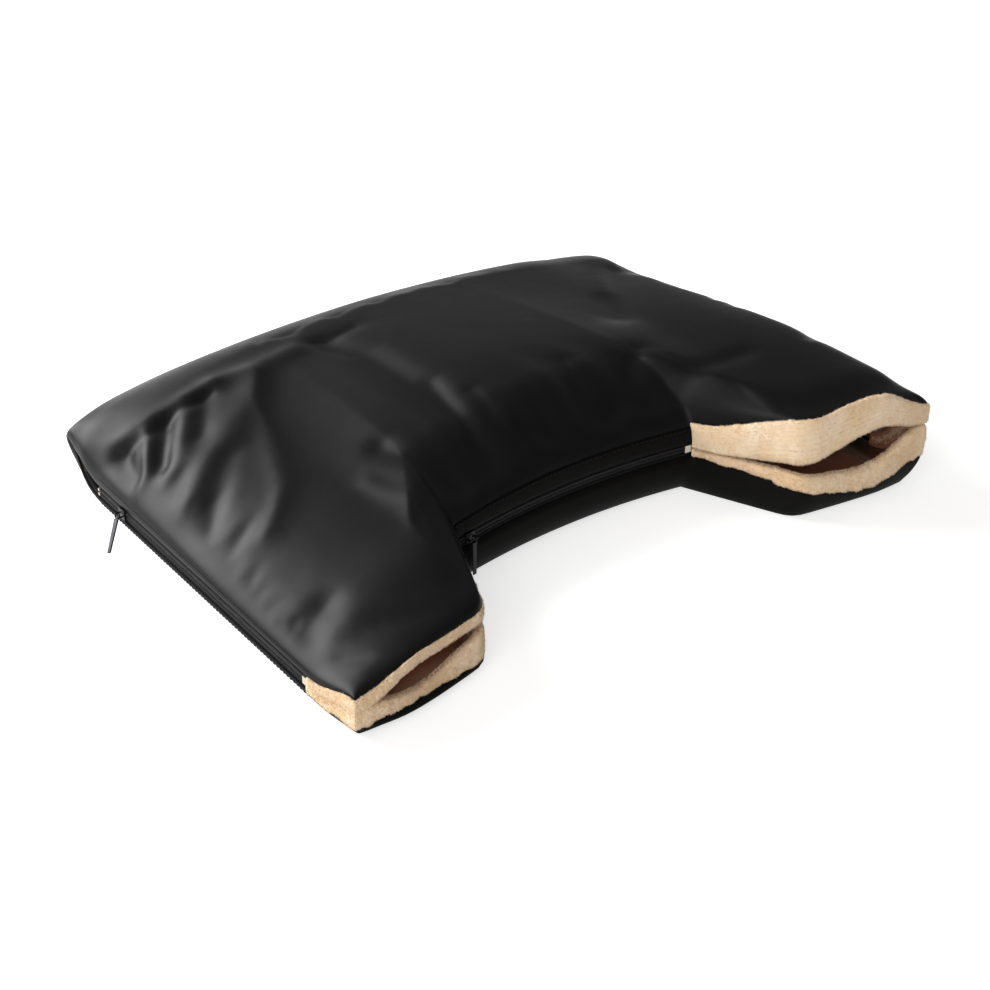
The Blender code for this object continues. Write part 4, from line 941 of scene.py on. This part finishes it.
# %% Paths of the zips
TEETH_DEPTH = SHELL_THICKNESS + GAP + TAPE_THICKNESS / 2
TEETH_NEAR, TEETH_FAR, BOX_LENGTH, STOP_LENGTH = 0.0008, 0.0030, 0.006, 0.0022
COIL_PITCH, COIL_WIRE, COIL_HALF_DEPTH, COIL_SHIFT, COIL_OVERLAP = 0.0015, 0.00055, 0.0008, 0.0004, 0.0005


def zip_line(place, along):
    """Centre points and outward directions at distances along a side zip, or at turns along the front one."""
    along = np.asarray(along, float)
    zero = np.zeros_like(along)
    if place == "front":
        out = np.stack([-np.sin(along), -np.cos(along), zero], -1)
        centre = np.array([0, ARC_CENTRE_Y, FRONT_ZIP_HEIGHT]) - out * (FRONT_ARC_RADIUS + TEETH_DEPTH)
        return centre, out
    side = -1 if place == "left" else 1
    out = np.stack([zero + side, zero, zero], -1)
    return np.stack([zero + side * (HALF_WIDTH - TEETH_DEPTH), along, zero + SIDE_ZIP_HEIGHT], -1), out


def new_tube(name, path, across_hint, radius, sides, material):
    """A round tube along the path, its section turned to the hint direction at each point."""
    travel = normalised(np.gradient(path, axis=0))
    first = normalised(np.cross(travel, across_hint))
    second = np.cross(travel, first)
    turns = np.arange(sides) * 2 * pi / sides
    section = first[:, None] * np.cos(turns)[:, None] + second[:, None] * np.sin(turns)[:, None]
    return new_loft(name, path[:, None] + radius * section, material)


def new_coil(place, half, start, end):
    """A helix of flattened turns beside the zip's middle, half a turn on in the lower half, so that the two mesh."""
    unit = FRONT_ARC_RADIUS if place == "front" else 1
    turns = int(abs(end - start) * unit / COIL_PITCH)
    angle = np.linspace(0, 2 * pi * turns, 10 * turns)
    centre, out = zip_line(place, np.linspace(start, end, len(angle)))
    side, phase = (1, 0) if half == "upper" else (-1, pi)
    middle = (TEETH_NEAR + TEETH_FAR) / 2 - COIL_SHIFT
    reach = (TEETH_FAR - TEETH_NEAR) / 2 - COIL_WIRE + COIL_OVERLAP
    path = centre + out * (COIL_HALF_DEPTH * np.sin(angle + phase))[:, None]
    path[:, 2] += side * (middle + reach * np.cos(angle + phase))
    hint = normalised(np.gradient(centre, axis=0))
    coil = new_tube(f"{place}_zip_{half}_coil", path, hint, COIL_WIRE, 5, NYLON)
    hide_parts(f"{place}_zip_{half}_teeth")


# %% Coils, tapes and metal ends
SIDE_TAPE_SHARE, FRONT_TAPE_SHARE, PLACKET_THICKNESS = 0.85 * 0.014 * INNER_U, 0.85 * 0.008, 0.0007


def zip_strip(name, skin, place, depths, inner_share, outward_first, material):
    """A strip along a zip: from its edge line inward over the skin, at two depths below the outer face."""
    way = OTHER_WAY[skin]
    inward = inner_share * (1 - np.cos(np.linspace(0, pi / 2, 7)))
    if place == "front":
        u, c = crossings(np.linspace(ZIP_U, 1 - ZIP_U, 81), inward)
    else:
        u, c = crossings(inward, np.linspace(MOUTH_C, ZIP_BACK_C, 61))
    u = 1 - u if place == "right" else u
    points, inside = skin(u, c)
    if place == "right":
        points, inside = points[::-1], inside[::-1]
    if outward_first:
        index = {"front": np.s_[:, :1], "left": np.s_[:1], "right": np.s_[-1:]}[place]
        bare, bare_inside = points[index].copy(), inside[index]
        bare[..., 2] += way * (ZIP_REVEAL - TEETH_FAR - GAP)
        axis, order = (1 if place == "front" else 0), (-1 if place == "right" else 1)
        points = np.concatenate([bare, points][::order], axis)
        inside = np.concatenate([bare_inside, inside][::order], axis)
    return new_slab(name, points + inside * depths[0], points + inside * depths[1], material)


ZIPS = {"left": (MOUTH_END_Y, ZIP_BACK_Y), "right": (MOUTH_END_Y, ZIP_BACK_Y), "front": (ARC_TURN, -ARC_TURN)}
tapes = []
for place, (start, end) in ZIPS.items():
    unit = FRONT_ARC_RADIUS if place == "front" else 1
    way = 1 if end > start else -1
    for half, skin in ZIP_HALVES.items():
        new_coil(place, half, start + way * (BOX_LENGTH + GAP) / unit, end - way * (STOP_LENGTH + GAP) / unit)
        depth = SHELL_THICKNESS + GAP
        tape = zip_strip(f"{place}_zip_{half}_tape_cloth", skin, place, (depth, depth + TAPE_THICKNESS),
                         FRONT_TAPE_SHARE if place == "front" else SIDE_TAPE_SHARE, True, TAPE)
        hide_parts(f"{place}_zip_{half}_tape")
        tapes.append(tape)
        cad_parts[f"{place}_zip_{half}_stop"].material_slots[0].material = NICKEL
    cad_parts[f"{place}_zip_end_box"].material_slots[0].material = NICKEL
    for node in ("slider", "pull"):
        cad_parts[f"{place}_zip_{node}"].material_slots[0].material = GUNMETAL
placket = zip_strip("front_placket_cloth", top_skin, "front", (-GAP - PLACKET_THICKNESS, -GAP), FRONT_TAPE_SHARE,
                    False, UNDER_CLOTH)
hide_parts("front_placket")
print("zips:", list(ZIPS))


# %% [markdown]
# ## Facings and stitches
# Behind each loop hole, where the handlebar's strap goes through, a black facing covers the raw edge of
# the fleece. Rows of lock stitch hold the zips, the placket and the back seam. A stitch is a
# spindle of thread, and a row repeats it by the length of its line.

# %% Facings of the loop holes
FACING_U = np.r_[0, 0, np.linspace(0, 0.055, 14)]
FACING_C = np.linspace(ZIP_BACK_C - 0.03, 0.997, 22)
FACING_GAP, FACING_REVEAL, FACING_THICKNESS = 0.0010, 0.0005, 0.0004


def new_facing(name, skin, right):
    """A strip from under the shell's edge, round the lining's raw edge and inward over the pile."""
    u, c = crossings(FACING_U, FACING_C)
    points, inside = skin(1 - u if right else u, c)
    depth = lining_depth(u, c) + LINING_THICKNESS + FACING_GAP
    depth[0] = SHELL_THICKNESS + GAP
    points = points + inside * depth
    points[:2, :, 2] += OTHER_WAY[skin] * FACING_REVEAL
    facing = new_piece(name, points, quads(*u.shape).tolist(), TAPE, uv=flat_place(u, c))
    wall = facing.modifiers.new("cloth thickness", "SOLIDIFY")
    wall.thickness, wall.offset = FACING_THICKNESS, 0
    return facing


facings = {(place, half): new_facing(f"{place}_{half}_loop_facing", skin, place == "right")
           for place in ("left", "right") for half, skin in ZIP_HALVES.items()}
print("facings:", len(facings))

# %% Rows of stitches
STITCH_LENGTH, STITCH_GAP, THREAD_RADIUS = 0.0030, 0.0012, 0.00032
ROW_LIFT, PLACKET_ROW_LIFT = 0.0002, 0.0012


def stitch_row(name, points, outward, lift):
    """Five-sided spindles of four rings, evenly spaced by length along a line of points, lifted off the cloth."""
    walked = np.concatenate([[0], np.cumsum(np.linalg.norm(np.diff(points, axis=0), axis=1))])
    count = int(walked[-1] / (STITCH_LENGTH + STITCH_GAP))
    at = ((np.arange(count) + 0.5) * walked[-1] / count)[:, None] + np.linspace(-0.5, 0.5, 4) * STITCH_LENGTH
    path = np.stack([np.interp(at, walked, column) for column in (points + outward * lift).T], -1)
    up = np.stack([np.interp(at, walked, column) for column in outward.T], -1)
    side = np.cross(normalised(np.gradient(path, axis=1)), up)
    turns = np.arange(5)[:, None] * 2 * pi / 5
    radius = THREAD_RADIUS * np.array([0.3, 1, 1, 0.3])[:, None, None]
    rings = path[:, :, None] + radius * (side[:, :, None] * np.cos(turns) + up[:, :, None] * np.sin(turns))
    offsets = 20 * np.arange(count)[:, None, None]
    walls = (quads(4, 5, wrap=True)[:, ::-1] + offsets).reshape(-1, 4)
    caps = (np.array([(0, 1, 2, 3, 4), (19, 18, 17, 16, 15)]) + offsets).reshape(-1, 5)
    return new_piece(name, rings, [*walls.tolist(), *caps.tolist()], THREAD)


ROW = np.linspace(0, 1, 240)
ALONG_ZIP = MOUTH_C + (ZIP_BACK_C - MOUTH_C) * ROW
STITCH_ROWS = {
    "left_zip_stitches": (top_skin, 0.0011 + 0 * ROW, ALONG_ZIP, ROW_LIFT),
    "right_zip_stitches": (top_skin, 0.9989 + 0 * ROW, ALONG_ZIP, ROW_LIFT),
    "left_under_zip_stitches": (bottom_skin, 0.0020 + 0 * ROW, ALONG_ZIP, ROW_LIFT),
    "right_under_zip_stitches": (bottom_skin, 0.9980 + 0 * ROW, ALONG_ZIP, ROW_LIFT),
    "back_seam_stitches": (top_skin, 0.03 + 0.94 * ROW, 0.9988 + 0 * ROW, ROW_LIFT),
    "placket_stitches": (top_skin, ZIP_U + (1 - 2 * ZIP_U) * ROW, 0.0050 + 0 * ROW, PLACKET_ROW_LIFT),
}
for name, (skin, u, c, lift) in STITCH_ROWS.items():
    points, inside = skin(u, c)
    stitch_row(name, points, -inside, lift)
print("stitch rows:", len(STITCH_ROWS))

TAPE_FLATS = {
    ("left", "upper"): (0.010, 0.290), ("left", "lower"): (0.010, 0.290),
    ("right", "upper"): (0.018, 0.290), ("right", "lower"): (0.010, 0.290),
    ("front", "upper"): (0.016, 0.226), ("front", "lower"): (0.022, 0.226),
}


def cloth_area(obj):
    """Half the area of a closed sheet's mesh, with its modifiers, in square metres."""
    mesh = obj.evaluated_get(bpy.context.evaluated_depsgraph_get()).to_mesh()
    areas = np.empty(len(mesh.polygons))
    mesh.polygons.foreach_get("area", areas)
    return float(areas.sum()) / 2


for obj in (top_shell, bottom_shell, *linings.values(), *tapes, placket):
    print(obj.name, "cloth area, square metres:", round(cloth_area(obj), 5))
for tape in tapes:
    place, _, half = tape.name.split("_")[:3]
    width, length = TAPE_FLATS[place, half]
